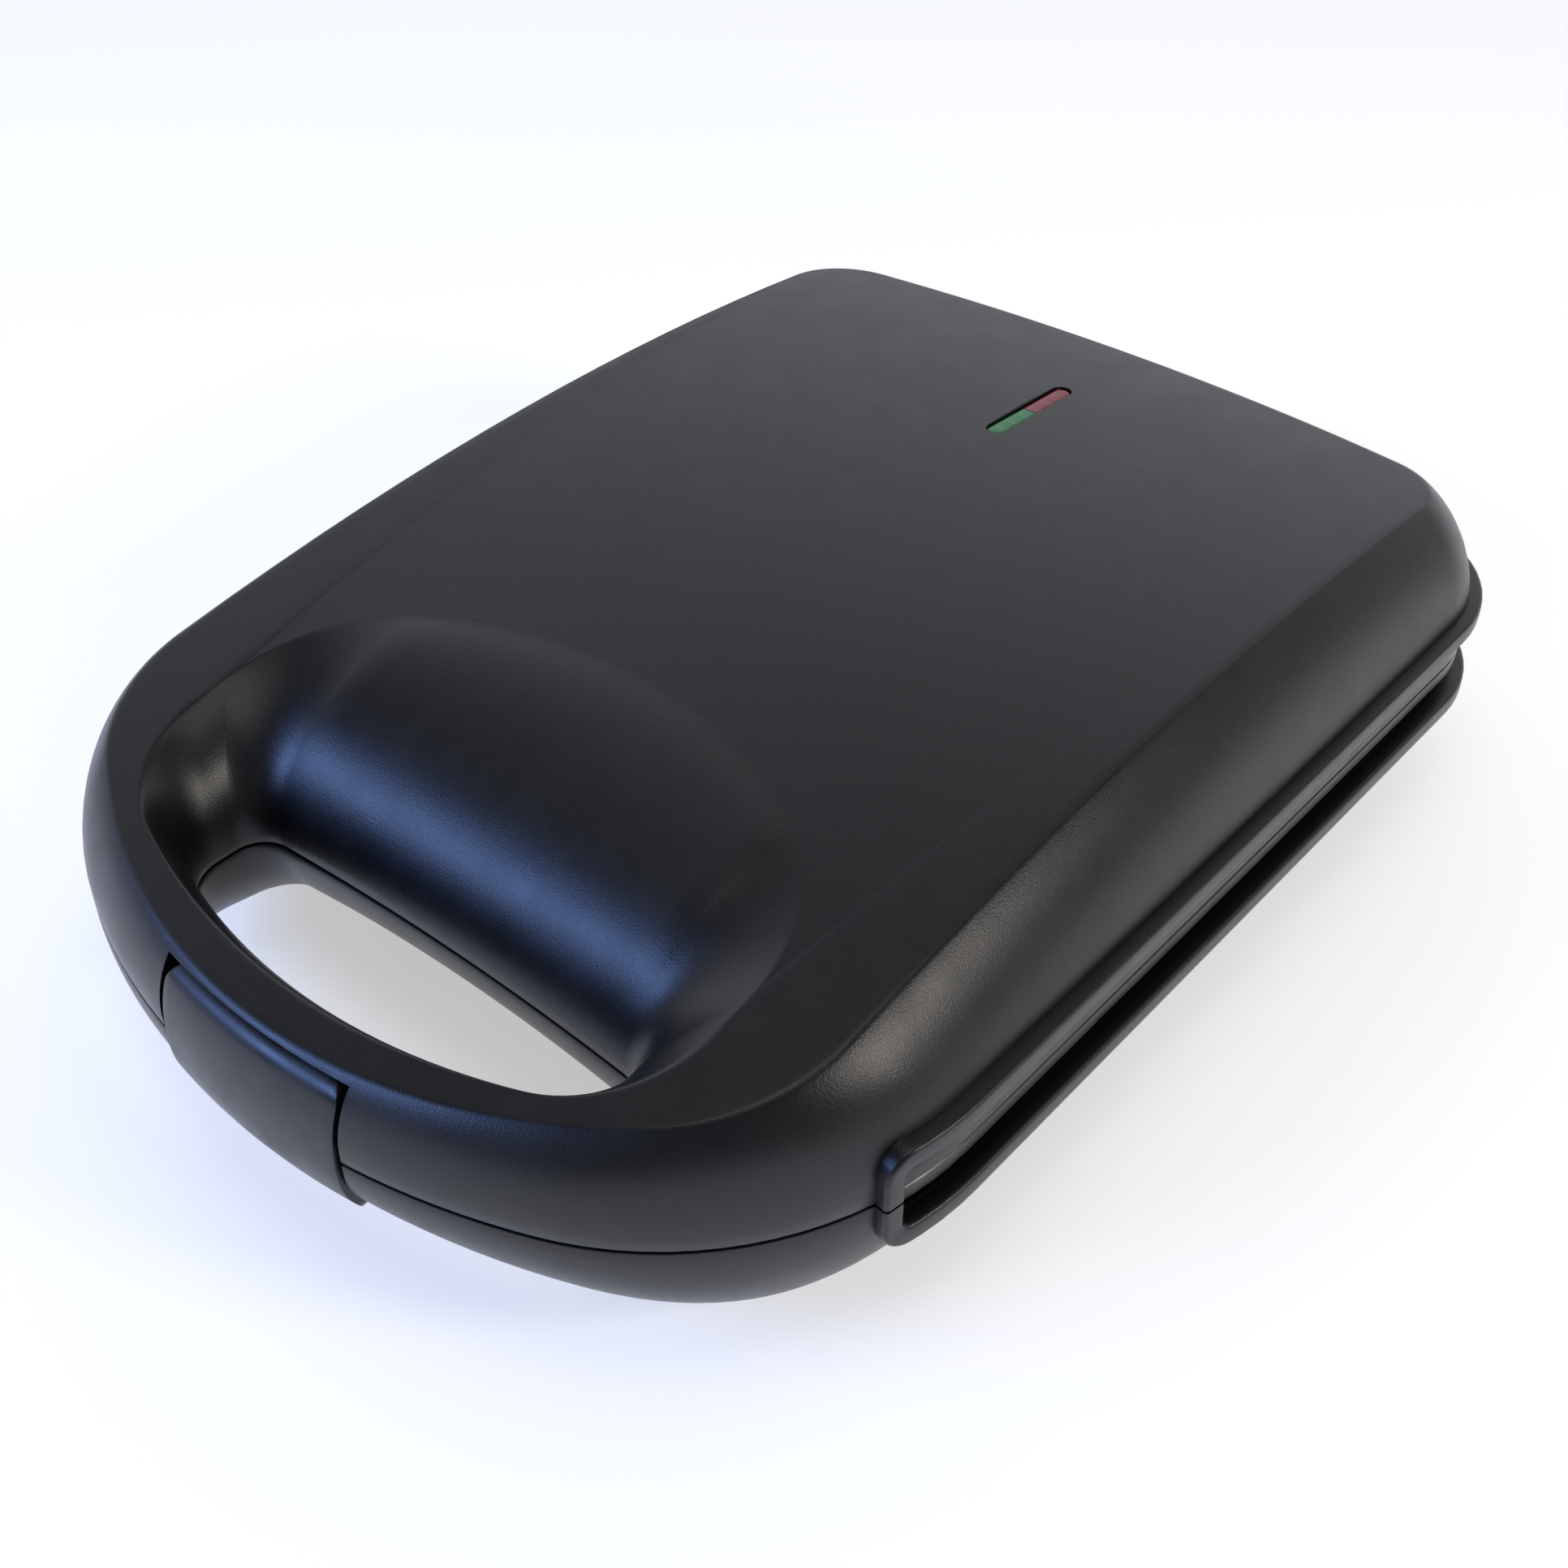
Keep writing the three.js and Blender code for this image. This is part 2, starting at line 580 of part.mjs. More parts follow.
// The inner frame: a land that closes the shell, the lip in the window, an upstand behind it and a
// ledge that the plate's flange lies on.
function innerFrame() {
  const reach = PARTING.half + OVERRUN;
  const land = prism(shapeOf(inset(PARTING, WALL + CLEARANCE), COARSE), FRAME_GAP, LAND_TOP);
  const lipOutline = outline(inset(PARTING, LIP_INSET));
  const lip = loft([
    atHeight(lipOutline, FRAME_GAP),
    atHeight(lipOutline, LIP_TOP - LIP_BEVEL),
    atHeight(outline(inset(PARTING, LIP_INSET + LIP_BEVEL)), LIP_TOP),
  ], false).intersect(block(-reach, reach, WINDOW_FRONT + CLEARANCE, PARTING.rear, 0, LIP_TOP + OVERRUN));
  const upstand = cut(prism(shapeOf(inset(PARTING, UPSTAND_INSET), COARSE), FRAME_GAP, UPSTAND_TOP),
    [prism(shapeOf(inset(PARTING, UPSTAND_INSET + UPSTAND_WALL), COARSE), LAND_TOP, UPSTAND_TOP + OVERRUN)])
    .intersect(block(-reach, reach, WINDOW_FRONT - UPSTAND_REACH, PARTING.rear, 0, UPSTAND_TOP + OVERRUN));
  const halfX = PLATE_WIDTH / 2;
  const halfY = PLATE_LENGTH / 2;
  const collar = plateOutline(LEDGE_WALL);
  const seat = plateOutline(PLATE_FIT);
  const opening = roundedRect(halfX - LEDGE, halfY - LEDGE, PLATE_CORNER - LEDGE, 0, PLATE_Y);
  const seatTop = PLATE_GAP + PLATE_FLANGE + CLEARANCE;
  return cut(join([land, lip, upstand, prism(collar, FRAME_GAP, LEDGE_TOP)]), [
    prism(seat, -OVERRUN, seatTop),
    prism(opening, -OVERRUN, LEDGE_TOP + OVERRUN),
    prism(shapeOf(inset(HOLE, -WALL - LAND_FIT), COARSE), -OVERRUN, LEDGE_TOP + OVERRUN),
    latchHousing(CLEARANCE),
    ...POSTS.map((p) => frameScrew(p, CLEARANCE)),
    ...POSTS.map(([x, y]) => upright(SCREW_HEAD + CLEARANCE, -OVERRUN, LAND_TOP, x, y, SCREW_SIDES)),
  ]);
}

function plateOutline(by) {
  return roundedRect(PLATE_WIDTH / 2 + by, PLATE_LENGTH / 2 + by, PLATE_CORNER + by, 0, PLATE_Y);
}

// The cooking plate, with bowls behind the flange and a diagonal ridge left standing in each pocket.
const POCKET_HALF_X = (PLATE_WIDTH - 2 * POCKET_MARGIN - POCKET_SPACING) / 4;
const POCKET_HALF_Y = (PLATE_LENGTH - 2 * POCKET_MARGIN - POCKET_SPACING) / 4;
const POCKET_X = POCKET_HALF_X + POCKET_SPACING / 2;
const POCKET_Y = POCKET_HALF_Y + POCKET_SPACING / 2;
const PLATE_BACK = PLATE_GAP + POCKET_DEPTH + POCKET_WALL;

function pocket(sx, sy, grown, from, to) {
  const ring = (by, z) => {
    const shape = roundedRect(POCKET_HALF_X + by, POCKET_HALF_Y + by, POCKET_CORNER + by, sx * POCKET_X,
      sy * POCKET_Y + PLATE_Y);
    return atHeight(shape.getPoints(2).slice(0, -1), z);
  };
  return loft([ring(grown, from), ring(grown, PLATE_GAP), ring(grown - POCKET_DRAFT, to)], false);
}

function ridge(sx, sy) {
  const along = new THREE.Vector3(sx * POCKET_HALF_X, sy * POCKET_HALF_Y, 0).normalize();
  const up = new THREE.Vector3(0, 0, 1);
  const across = new THREE.Vector3().crossVectors(up, along);
  const low = PLATE_GAP + POCKET_DEPTH + OVERRUN;
  const high = PLATE_GAP + RIDGE_DROP;
  const shape = new THREE.Shape([
    new THREE.Vector2(-RIDGE_CREST / 2, high),
    new THREE.Vector2(-RIDGE_WIDTH / 2, low),
    new THREE.Vector2(RIDGE_WIDTH / 2, low),
    new THREE.Vector2(RIDGE_CREST / 2, high),
  ]);
  const length = 2 * Math.hypot(POCKET_HALF_X, POCKET_HALF_Y) + 2 * OVERRUN;
  const geometry = new THREE.ExtrudeGeometry(shape, { depth: length, bevelEnabled: false });
  geometry.translate(0, 0, -length / 2).applyMatrix4(new THREE.Matrix4().makeBasis(across, up, along));
  return solid(geometry.translate(sx * POCKET_X, sy * POCKET_Y + PLATE_Y, 0));
}

function cookingPlate() {
  const corners = SIDES.flatMap((sx) => SIDES.map((sy) => [sx, sy]));
  const bowls = corners.map(([sx, sy]) => pocket(sx, sy, POCKET_WALL, PLATE_GAP, PLATE_BACK));
  const hollows = corners.map(([sx, sy]) => (
    pocket(sx, sy, 0, -OVERRUN, PLATE_GAP + POCKET_DEPTH).subtract(ridge(sx, sy))));
  return cut(join([prism(plateOutline(0), PLATE_GAP, PLATE_GAP + PLATE_FLANGE), ...bowls]), hollows);
}

// The heater: one bar bent round the four pockets, with both ends side by side at the rear.
const HEATER_HALF_X = PLATE_WIDTH / 2 - HEATER_INSET;
const HEATER_HALF_Y = PLATE_LENGTH / 2 - HEATER_INSET;
const HEATER_Z = PLATE_BACK + CLEARANCE + HEATER_RADIUS;
const CLAMP_Z = HEATER_Z + HEATER_RADIUS + CLEARANCE;

function heater() {
  const rear = PLATE_Y + HEATER_HALF_Y;
  const front = PLATE_Y - HEATER_HALF_Y;
  const bend = HEATER_BEND;
  const path = new THREE.Path();
  path.moveTo(HEATER_HALF_GAP, rear + HEATER_TAIL);
  path.lineTo(HEATER_HALF_GAP, rear + bend);
  path.absarc(HEATER_HALF_GAP + bend, rear + bend, bend, Math.PI, 3 * QUARTER, false);
  path.absarc(HEATER_HALF_X - bend, rear - bend, bend, QUARTER, 0, true);
  path.absarc(HEATER_HALF_X - bend, front + bend, bend, 0, -QUARTER, true);
  const right = path.getPoints(3).map((p) => new THREE.Vector3(p.x, p.y, HEATER_Z));
  const left = [...right].reverse().map((p) => new THREE.Vector3(-p.x, p.y, p.z));
  const all = [...right, ...left];
  const apart = all.filter((p, i) => i === 0 || p.distanceTo(all[i - 1]) > CLEARANCE);
  return bar(apart, HEATER_RADIUS, HEATER_SIDES);
}

// A strip that holds both legs of the heater down, on two posts that stand on the plate's back.
function heaterClamp() {
  const reach = HEATER_HALF_X + 2 * HEATER_RADIUS;
  const front = PLATE_Y - CLAMP_WIDTH / 2;
  const strip = block(-reach, reach, front, front + CLAMP_WIDTH, CLAMP_Z, CLAMP_Z + CLAMP_SHEET);
  const struts = SIDES.map((s) => upright(CLAMP_POST, PLATE_BACK + CLEARANCE, CLAMP_Z + CLAMP_SHEET / 2,
    s * CLAMP_POST_X, PLATE_Y + POCKET_SPACING, SMALL_SIDES));
  return join([strip, ...struts]);
}

const REFLECTOR_TOP = CLAMP_Z + CLAMP_SHEET + REFLECTOR_GAP + REFLECTOR_SHEET;
function reflector() {
  const pan = (by, z0, z1) => prism(plateOutline(-REFLECTOR_INSET - by), z0, z1);
  return pan(0, LEDGE_TOP + CLEARANCE, REFLECTOR_TOP)
    .subtract(pan(REFLECTOR_SHEET, -OVERRUN, REFLECTOR_TOP - REFLECTOR_SHEET));
}

// The indicator slot's pieces are drawn around its middle and tilted with the arched top.
const LENS_TILT = Math.asin((LENS_Y - CROWN_Y) / ARCH_RADIUS);
const onTop = (geometry) => solid(geometry.rotateX(-LENS_TILT).translate(0, LENS_Y, lidTop(LENS_Y)));
const slotShape = (by) => roundedRect(LENS_WIDTH / 2 + by, LENS_LENGTH / 2 + by, LENS_WIDTH / 2 + by);

function lensSlot() {
  return onTop(slab(slotShape(0), -WALL - OVERRUN, OVERRUN))
    .add(onTop(slab(slotShape(LENS_FLANGE), -WALL - OVERRUN, -LENS_SEAT)));
}

// One half of the lens: a body that fills the slot's end and a flange under the lid's wall.
function lens(s) {
  const flangeTop = -LENS_SEAT - CLEARANCE;
  const flangeLow = flangeTop - LENS_FLANGE_SHEET;
  const whole = onTop(slab(slotShape(-CLEARANCE), flangeLow, -LENS_RECESS))
    .add(onTop(slab(slotShape(LENS_FLANGE - CLEARANCE), flangeLow, flangeTop)));
  const half = LENS_WIDTH + LENS_FLANGE;
  const near = s > 0 ? CLEARANCE / 2 : -LENS_LENGTH;
  const far = s > 0 ? LENS_LENGTH : -CLEARANCE / 2;
  const keep = new THREE.BoxGeometry(2 * half, far - near, CROWN).translate(0, (near + far) / 2, 0);
  return whole.intersect(onTop(keep));
}

const TRAY_TOP = -LENS_SEAT - 2 * CLEARANCE - LENS_FLANGE_SHEET;
function lampTray() {
  const low = TRAY_TOP - TRAY_DEPTH;
  const inner = LENS_FLANGE - CLEARANCE - TRAY_WALL;
  return onTop(slab(slotShape(inner + TRAY_WALL), low, TRAY_TOP))
    .subtract(onTop(slab(slotShape(inner), low + TRAY_WALL, OVERRUN)));
}

function lamp(s) {
  const z = TRAY_TOP - TRAY_DEPTH + TRAY_WALL + CLEARANCE + LAMP_RADIUS;
  const geometry = new THREE.CylinderGeometry(LAMP_RADIUS, LAMP_RADIUS, LAMP_LENGTH, SMALL_SIDES);
  return onTop(geometry.translate(0, s * LENS_LENGTH / 4, z));
}

// The base's own pieces.
function gland() {
  const near = GLAND_BOSS_FROM - CLEARANCE;
  const far = GLAND_BOSS_TO + CLEARANCE;
  const body = alongY(GLAND_RADIUS, near - GLAND_SHEET, far + GLAND_SHEET, 0, GLAND_Z);
  const outside = alongY(GLAND_FLANGE, far, far + GLAND_SHEET, 0, GLAND_Z);
  const inside = alongY(GLAND_FLANGE, near - GLAND_SHEET, near, 0, GLAND_Z);
  return join([body, outside, inside])
    .subtract(alongY(GLAND_BORE, GLAND_BOSS_FROM - OVERRUN, GLAND_BOSS_TO + OVERRUN, 0, GLAND_Z));
}

const glandBoss = () => alongY(GLAND_BOSS, GLAND_BOSS_FROM, GLAND_BOSS_TO, 0, GLAND_Z);
const FEET = [
  ['foot_front_left', -FOOT_X, FOOT_FRONT_Y],
  ['foot_front_right', FOOT_X, FOOT_FRONT_Y],
  ['foot_rear_left', -FOOT_X, FOOT_REAR_Y],
  ['foot_rear_right', FOOT_X, FOOT_REAR_Y],
];

function rubberFoot(x, y) {
  const seat = BELLY + CLEARANCE;
  const pad = upright(FOOT_RADIUS, seat, BELLY + FOOT_HEIGHT, x, y, ROUND_SIDES, FOOT_RADIUS - FOOT_TAPER);
  return pad.add(upright(FOOT_STEM, BELLY - WALL - FOOT_STEM_REACH, seat + CLEARANCE, x, y, SMALL_SIDES));
}

function thermostat() {
  const low = REFLECTOR_TOP + CLEARANCE;
  const at = [THERMOSTAT_X, THERMOSTAT_Y];
  const can = upright(THERMOSTAT_RADIUS, low, low + THERMOSTAT_HEIGHT / 2, ...at);
  return can.add(upright(THERMOSTAT_NECK, low, low + THERMOSTAT_HEIGHT, ...at, SMALL_SIDES));
}

function terminalBlock() {
  const top = BELLY - WALL - CLEARANCE;
  const reach = BLOCK_LENGTH / 2;
  const front = BLOCK_Y - BLOCK_WIDTH / 2;
  const body = block(-reach, reach, front, front + BLOCK_WIDTH, top - BLOCK_HEIGHT, top);
  return cut(body, [-1, 0, 1].map((k) => alongY(BLOCK_BORE, BLOCK_Y - BLOCK_WIDTH, BLOCK_Y + BLOCK_WIDTH,
    k * BLOCK_PITCH, top - BLOCK_HEIGHT / 2, SMALL_SIDES)));
}

function thermalFuse() {
  const z = REFLECTOR_TOP + CLEARANCE + FUSE_RADIUS;
  const left = -THERMOSTAT_X - FUSE_LENGTH / 2;
  return alongX(FUSE_RADIUS, left, left + FUSE_LENGTH, THERMOSTAT_Y, z, SMALL_SIDES);
}

const lidShell = cut(shell(lidTop, lidArms()), [lensSlot(), solid(latchNotch()), latchPin(CLEARANCE)]);
place('lid_shell', lidShell, SHELL_PLASTIC);
place('lid_frame', innerFrame(), FRAME_PLASTIC);
place('green_lens', lens(-1), GREEN_LENS);
place('red_lens', lens(1), RED_LENS);
place('green_lamp', lamp(-1), LAMP_GLASS);
place('red_lamp', lamp(1), LAMP_GLASS);
place('lamp_tray', lampTray(), TRAY_PLASTIC);
const latchClip = solid(latchBar(LATCH_HALF, 0)).intersect(latchFront());
place('latch_clip', latchClip.subtract(latchPin(CLEARANCE)), LATCH_PLASTIC);
place('latch_pin', latchPin(0), STEEL);

const footHoles = FEET.map(([, x, y]) => (
  upright(FOOT_STEM + CLEARANCE, BELLY - WALL - OVERRUN, BELLY + OVERRUN, x, y, SMALL_SIDES)));
const glandHole = alongY(GLAND_RADIUS + CLEARANCE, GLAND_BOSS_FROM - OVERRUN, GLAND_BOSS_TO + OVERRUN, 0,
  GLAND_Z);
const baseNotch = solid(latchNotch().rotateY(Math.PI));
const baseHousing = cut(shell(baseTop, [...baseArms(), glandBoss()]), [baseNotch, glandHole, ...footHoles]);
place('base_shell', baseHousing.subtract(handleStretch(LATCH_SEAT_WALL, CLEARANCE)), SHELL_PLASTIC, true);
place('base_latch_seat', baseHousing.intersect(handleStretch(LATCH_SEAT_WALL, 0)), SHELL_PLASTIC, true);
place('base_frame', innerFrame(), FRAME_PLASTIC, true);
place('thermostat', thermostat(), CERAMIC, true);
place('thermal_fuse', thermalFuse(), CERAMIC, true);
place('terminal_block', terminalBlock(), CERAMIC, true);
place('cord_gland', gland(), RUBBER, true);
FEET.forEach(([name, x, y]) => place(name, rubberFoot(x, y), RUBBER, true));
place('hinge_pin_left', hingePin(-1, 0), STEEL);
place('hinge_pin_right', hingePin(1, 0), STEEL);

for (const [half, mirrored] of [['upper', false], ['lower', true]]) {
  place(`${half}_plate`, cookingPlate(), NONSTICK, mirrored);
  place(`${half}_heater`, heater(), HEATER_SHEATH, mirrored);
  place(`${half}_heater_clamp`, heaterClamp(), STEEL, mirrored);
  place(`${half}_reflector`, reflector(), ALUMINIUM, mirrored);
  POSTS.forEach((p, i) => place(`${half}_frame_screw_${i + 1}`, frameScrew(p, 0), STEEL, mirrored));
}

// The origin is the middle of the footprint, on the surface that the feet stand on.
const box = new THREE.Box3().setFromObject(model, true);
model.position.set(0, -(box.min.y + box.max.y) / 2, -box.min.z);
model.updateMatrixWorld(true);

export default model;
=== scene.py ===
"""Dresses the packed sandwich maker: fine skins, lenses, plates and small parts, with their finishes,
on a pale floor in soft light, seen as in the photograph.

Drawing sizes are in millimetres and are the same as the solids': heights count from the closing plane,
upward in the lid and downward in the base, and the handle points to -Y.
"""

from __future__ import annotations

import json
import logging
import math
from dataclasses import dataclass, field
from enum import Enum
from typing import Callable, Sequence

import bmesh
import bpy
import numpy as np
from mathutils import Matrix, Vector

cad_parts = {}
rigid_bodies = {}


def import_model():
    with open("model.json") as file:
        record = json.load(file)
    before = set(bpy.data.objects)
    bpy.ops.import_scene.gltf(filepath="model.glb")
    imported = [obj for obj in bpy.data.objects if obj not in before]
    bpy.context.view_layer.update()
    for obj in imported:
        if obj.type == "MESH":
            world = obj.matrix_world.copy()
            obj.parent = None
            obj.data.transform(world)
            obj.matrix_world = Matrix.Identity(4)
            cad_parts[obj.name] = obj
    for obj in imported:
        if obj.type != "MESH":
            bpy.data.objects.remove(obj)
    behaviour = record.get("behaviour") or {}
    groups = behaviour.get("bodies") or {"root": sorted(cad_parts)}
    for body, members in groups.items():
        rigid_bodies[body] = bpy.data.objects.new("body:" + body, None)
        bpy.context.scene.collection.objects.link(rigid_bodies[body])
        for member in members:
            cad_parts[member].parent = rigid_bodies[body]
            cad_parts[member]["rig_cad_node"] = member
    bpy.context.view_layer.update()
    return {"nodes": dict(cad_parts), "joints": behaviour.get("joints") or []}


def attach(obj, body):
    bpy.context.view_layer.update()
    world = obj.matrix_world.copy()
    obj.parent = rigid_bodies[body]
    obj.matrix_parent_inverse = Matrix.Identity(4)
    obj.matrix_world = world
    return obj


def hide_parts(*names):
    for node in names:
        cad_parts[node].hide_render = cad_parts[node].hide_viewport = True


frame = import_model()

log = logging.getLogger("sandwich_maker")

MM = 0.001
TURN = 2.0 * math.pi
QUARTER = 0.5 * math.pi
OVERRUN = 5.0  # how far a cutting tool reaches past the piece, in millimetres
ALONG_X, ALONG_Y, UPWARD = Vector((1, 0, 0)), Vector((0, 1, 0)), Vector((0, 0, 1))
Array = np.ndarray
Shape = Array  # plan points, one row each
Node = bpy.types.ShaderNode
Socket = bpy.types.NodeSocket
Tree = bpy.types.NodeTree
Piece = bpy.types.Object


class Half(Enum):
    """The two halves, by the sign of their heights above the closing plane."""

    LID = 1
    BASE = -1

    @property
    def body(self) -> str:
        """The body that the half rides on."""
        return self.name.lower()

    @property
    def label(self) -> str:
        """The half's word in the names of the pieces inside it."""
        return "upper" if self is Half.LID else "lower"


class Side(Enum):
    """The two sides, by the sign of X."""

    LEFT = -1
    RIGHT = 1


# Colour and shader nodes


def linear(hex_colour: str) -> tuple[float, float, float, float]:
    """Turns an sRGB hex colour into linear values with full alpha.

    Args:
        hex_colour: six hex digits, such as "26272c".

    Returns:
        Linear red, green and blue, and alpha 1.
    """
    srgb = [int(hex_colour[i : i + 2], 16) / 255 for i in (0, 2, 4)]
    red, green, blue = (c / 12.92 if c <= 0.04045 else ((c + 0.055) / 1.055) ** 2.4 for c in srgb)
    return red, green, blue, 1.0


def add_node(
    tree: Tree, kind: str, sockets: dict[str | int, object] | None = None, **settings: object
) -> Node:
    """Adds a node, sets its settings, and fills or links its inputs.

    Args:
        tree: the node tree that gets the node.
        kind: Blender's type name, such as "ShaderNodeTexNoise".
        sockets: a value or an output socket for each input, by name or index.
        settings: the node's own settings.

    Returns:
        The new node.
    """
    node = tree.nodes.new(kind)
    for name, value in settings.items():
        setattr(node, name, value)
    for name, value in (sockets or {}).items():
        if isinstance(value, Socket):
            tree.links.new(value, node.inputs[name])
        else:
            node.inputs[name].default_value = value
    return node


def blend(tree: Tree, factor: Socket, first: object, second: object) -> Socket:
    """Adds a mix of two colours, where the factor is the second one's share."""
    sockets = {"Factor": factor, "A": first, "B": second}
    return add_node(tree, "ShaderNodeMix", sockets, data_type="RGBA").outputs["Result"]


def remap(
    tree: Tree, value: Socket, source: Sequence[float], target: Sequence[object], **settings: object
) -> Socket:
    """Adds a map from one range of values to another, held at the ends.

    Args:
        tree: the node tree.
        value: what is mapped.
        source: the two ends of its range.
        target: what the two ends become.
        settings: the node's own settings.

    Returns:
        The mapped value.
    """
    ends = dict(zip(("From Min", "From Max", "To Min", "To Max"), (*source, *target)))
    return add_node(tree, "ShaderNodeMapRange", {"Value": value, **ends}, **settings).outputs["Result"]


@dataclass(frozen=True)
class Finish:
    """What every finish shares: a name, two close colours that mottle into each other, and a surface.

    Lengths are in millimetres on the object.
    """

    name: str
    colour: str
    second: str
    mottle: float = 40.0
    roughness: float = 0.5
    roughness_spread: float = 0.06
    metallic: float = 0.0
    ior: float = 1.5
    grain: float = 0.4
    grain_depth: float = 0.02
    slot: str = ""
    noise_span: tuple[float, float] = (0.3, 0.7)
    dull_share: float = 0.3

    def place(self, tree: Tree) -> Socket:
        """Adds the coordinates of the object, in metres."""
        return add_node(tree, "ShaderNodeTexCoord").outputs["Object"]

    def noise(self, tree: Tree, vector: Socket, size: float, detail: float) -> Socket:
        """Adds noise whose patches are about a size across.

        Args:
            tree: the node tree.
            vector: the coordinates to read.
            size: the patches' size in millimetres.
            detail: how many finer octaves are added.

        Returns:
            The noise, from 0 to 1.
        """
        sockets = {"Vector": vector, "Scale": 1.0 / (size * MM), "Detail": detail, "Roughness": 0.55}
        return add_node(tree, "ShaderNodeTexNoise", sockets).outputs["Fac"]

    def relief(self, tree: Tree, vector: Socket) -> Socket:
        """Returns the height of the fine surface, from 0 to 1."""
        return self.noise(tree, vector, self.grain, 2.0)

    def shader(self, tree: Tree) -> Node:
        """Adds the surface shader with its mottled colour, roughness and relief.

        Args:
            tree: the node tree.

        Returns:
            The principled shader node.
        """
        vector = self.place(tree)
        mottle = self.noise(tree, vector, self.mottle, 3.0)
        dull = self.noise(tree, vector, self.dull_share * self.mottle, 4.0)
        spread = (self.roughness - self.roughness_spread, self.roughness + self.roughness_spread)
        height = self.relief(tree, vector)
        bump = {"Height": height, "Distance": self.grain_depth * MM, "Strength": 1.0}
        sockets = {
            "Base Color": blend(tree, mottle, linear(self.colour), linear(self.second)),
            "Roughness": remap(tree, dull, self.noise_span, spread),
            "Normal": add_node(tree, "ShaderNodeBump", bump).outputs["Normal"],
            "Metallic": self.metallic,
            "IOR": self.ior,
        }
        return add_node(tree, "ShaderNodeBsdfPrincipled", sockets)

    def material(self) -> bpy.types.Material:
        """Makes the material once and returns it."""
        known = bpy.data.materials.get(self.name)
        if known:
            return known
        made = bpy.data.materials.new(self.name)
        made.use_nodes = True
        made.node_tree.nodes.clear()
        surface = self.shader(made.node_tree)
        add_node(made.node_tree, "ShaderNodeOutputMaterial", {"Surface": surface.outputs[0]})
        return made

    def dress(self, piece: Piece) -> None:
        """Gives a piece this finish."""
        piece.data.materials.clear()
        piece.data.materials.append(self.material())


@dataclass(frozen=True)
class ErodedPlastic(Finish):
    """A moulded or pressed face with small rounded pits that break a highlight into sparkle."""

    def relief(self, tree: Tree, vector: Socket) -> Socket:
        """Returns pits of the grain's width with finer ones between them."""
        pits = {"Vector": vector, "Scale": 1.0 / (self.grain * MM), "Randomness": 1.0}
        cells = add_node(tree, "ShaderNodeTexVoronoi", pits, feature="SMOOTH_F1")
        fine = self.noise(tree, vector, 0.5 * self.grain, 2.0)
        sockets = {0: cells.outputs["Distance"], 1: fine}
        return add_node(tree, "ShaderNodeMath", sockets, operation="ADD").outputs[0]


@dataclass(frozen=True)
class NonstickCoating(Finish):
    """PTFE coating sprayed on die-cast aluminium: dark, softly glossy, with fine pale mica flecks."""

    fleck: str = "6d6d70"
    fleck_cell: float = 1.6
    fleck_edge: tuple[float, float] = (0.08, 0.14)
    coat: float = 0.25
    coat_roughness: float = 0.3

    def shader(self, tree: Tree) -> Node:
        """Adds the coat and flecks to the plain surface."""
        surface = super().shader(tree)
        cells = {"Vector": self.place(tree), "Scale": 1.0 / (self.fleck_cell * MM)}
        flecks = add_node(tree, "ShaderNodeTexVoronoi", cells).outputs["Distance"]
        spots = remap(tree, flecks, self.fleck_edge, (1.0, 0.0))
        under = surface.inputs["Base Color"].links[0].from_socket
        mixed = blend(tree, spots, under, linear(self.fleck))
        tree.links.new(mixed, surface.inputs["Base Color"])
        surface.inputs["Coat Weight"].default_value = self.coat
        surface.inputs["Coat Roughness"].default_value = self.coat_roughness
        return surface


@dataclass(frozen=True)
class DrawnMetal(Finish):
    """Metal with fine lines from rolling or drawing, which stretch a highlight across them."""

    stretch: tuple[float, float, float] = (1.0, 14.0, 1.0)

    def relief(self, tree: Tree, vector: Socket) -> Socket:
        """Returns lines of the grain's width that run along X."""
        drawn = add_node(tree, "ShaderNodeMapping", {"Vector": vector, "Scale": self.stretch})
        return self.noise(tree, drawn.outputs["Vector"], self.grain, 3.0)


@dataclass(frozen=True)
class Glass(Finish):
    """Thin clear glass, blown and left as it is."""

    clear: float = 0.85

    def shader(self, tree: Tree) -> Node:
        """Adds the clear share to the plain surface."""
        surface = super().shader(tree)
        surface.inputs["Transmission Weight"].default_value = self.clear
        return surface


@dataclass(frozen=True)
class TintedLens(Glass):
    """Dyed clear acrylic, polished outside and ribbed inside, with the dark hollow showing through."""

    clear: float = 0.35
    wave_unit: float = 20.0  # the wave texture's own factor on its scale

    def relief(self, tree: Tree, vector: Socket) -> Socket:
        """Returns the ribs that spread the lamp's light along the slot."""
        ribs = {"Vector": vector, "Scale": 1.0 / (self.wave_unit * self.grain * MM), "Distortion": 0.0}
        return add_node(tree, "ShaderNodeTexWave", ribs, bands_direction="Y").outputs["Fac"]


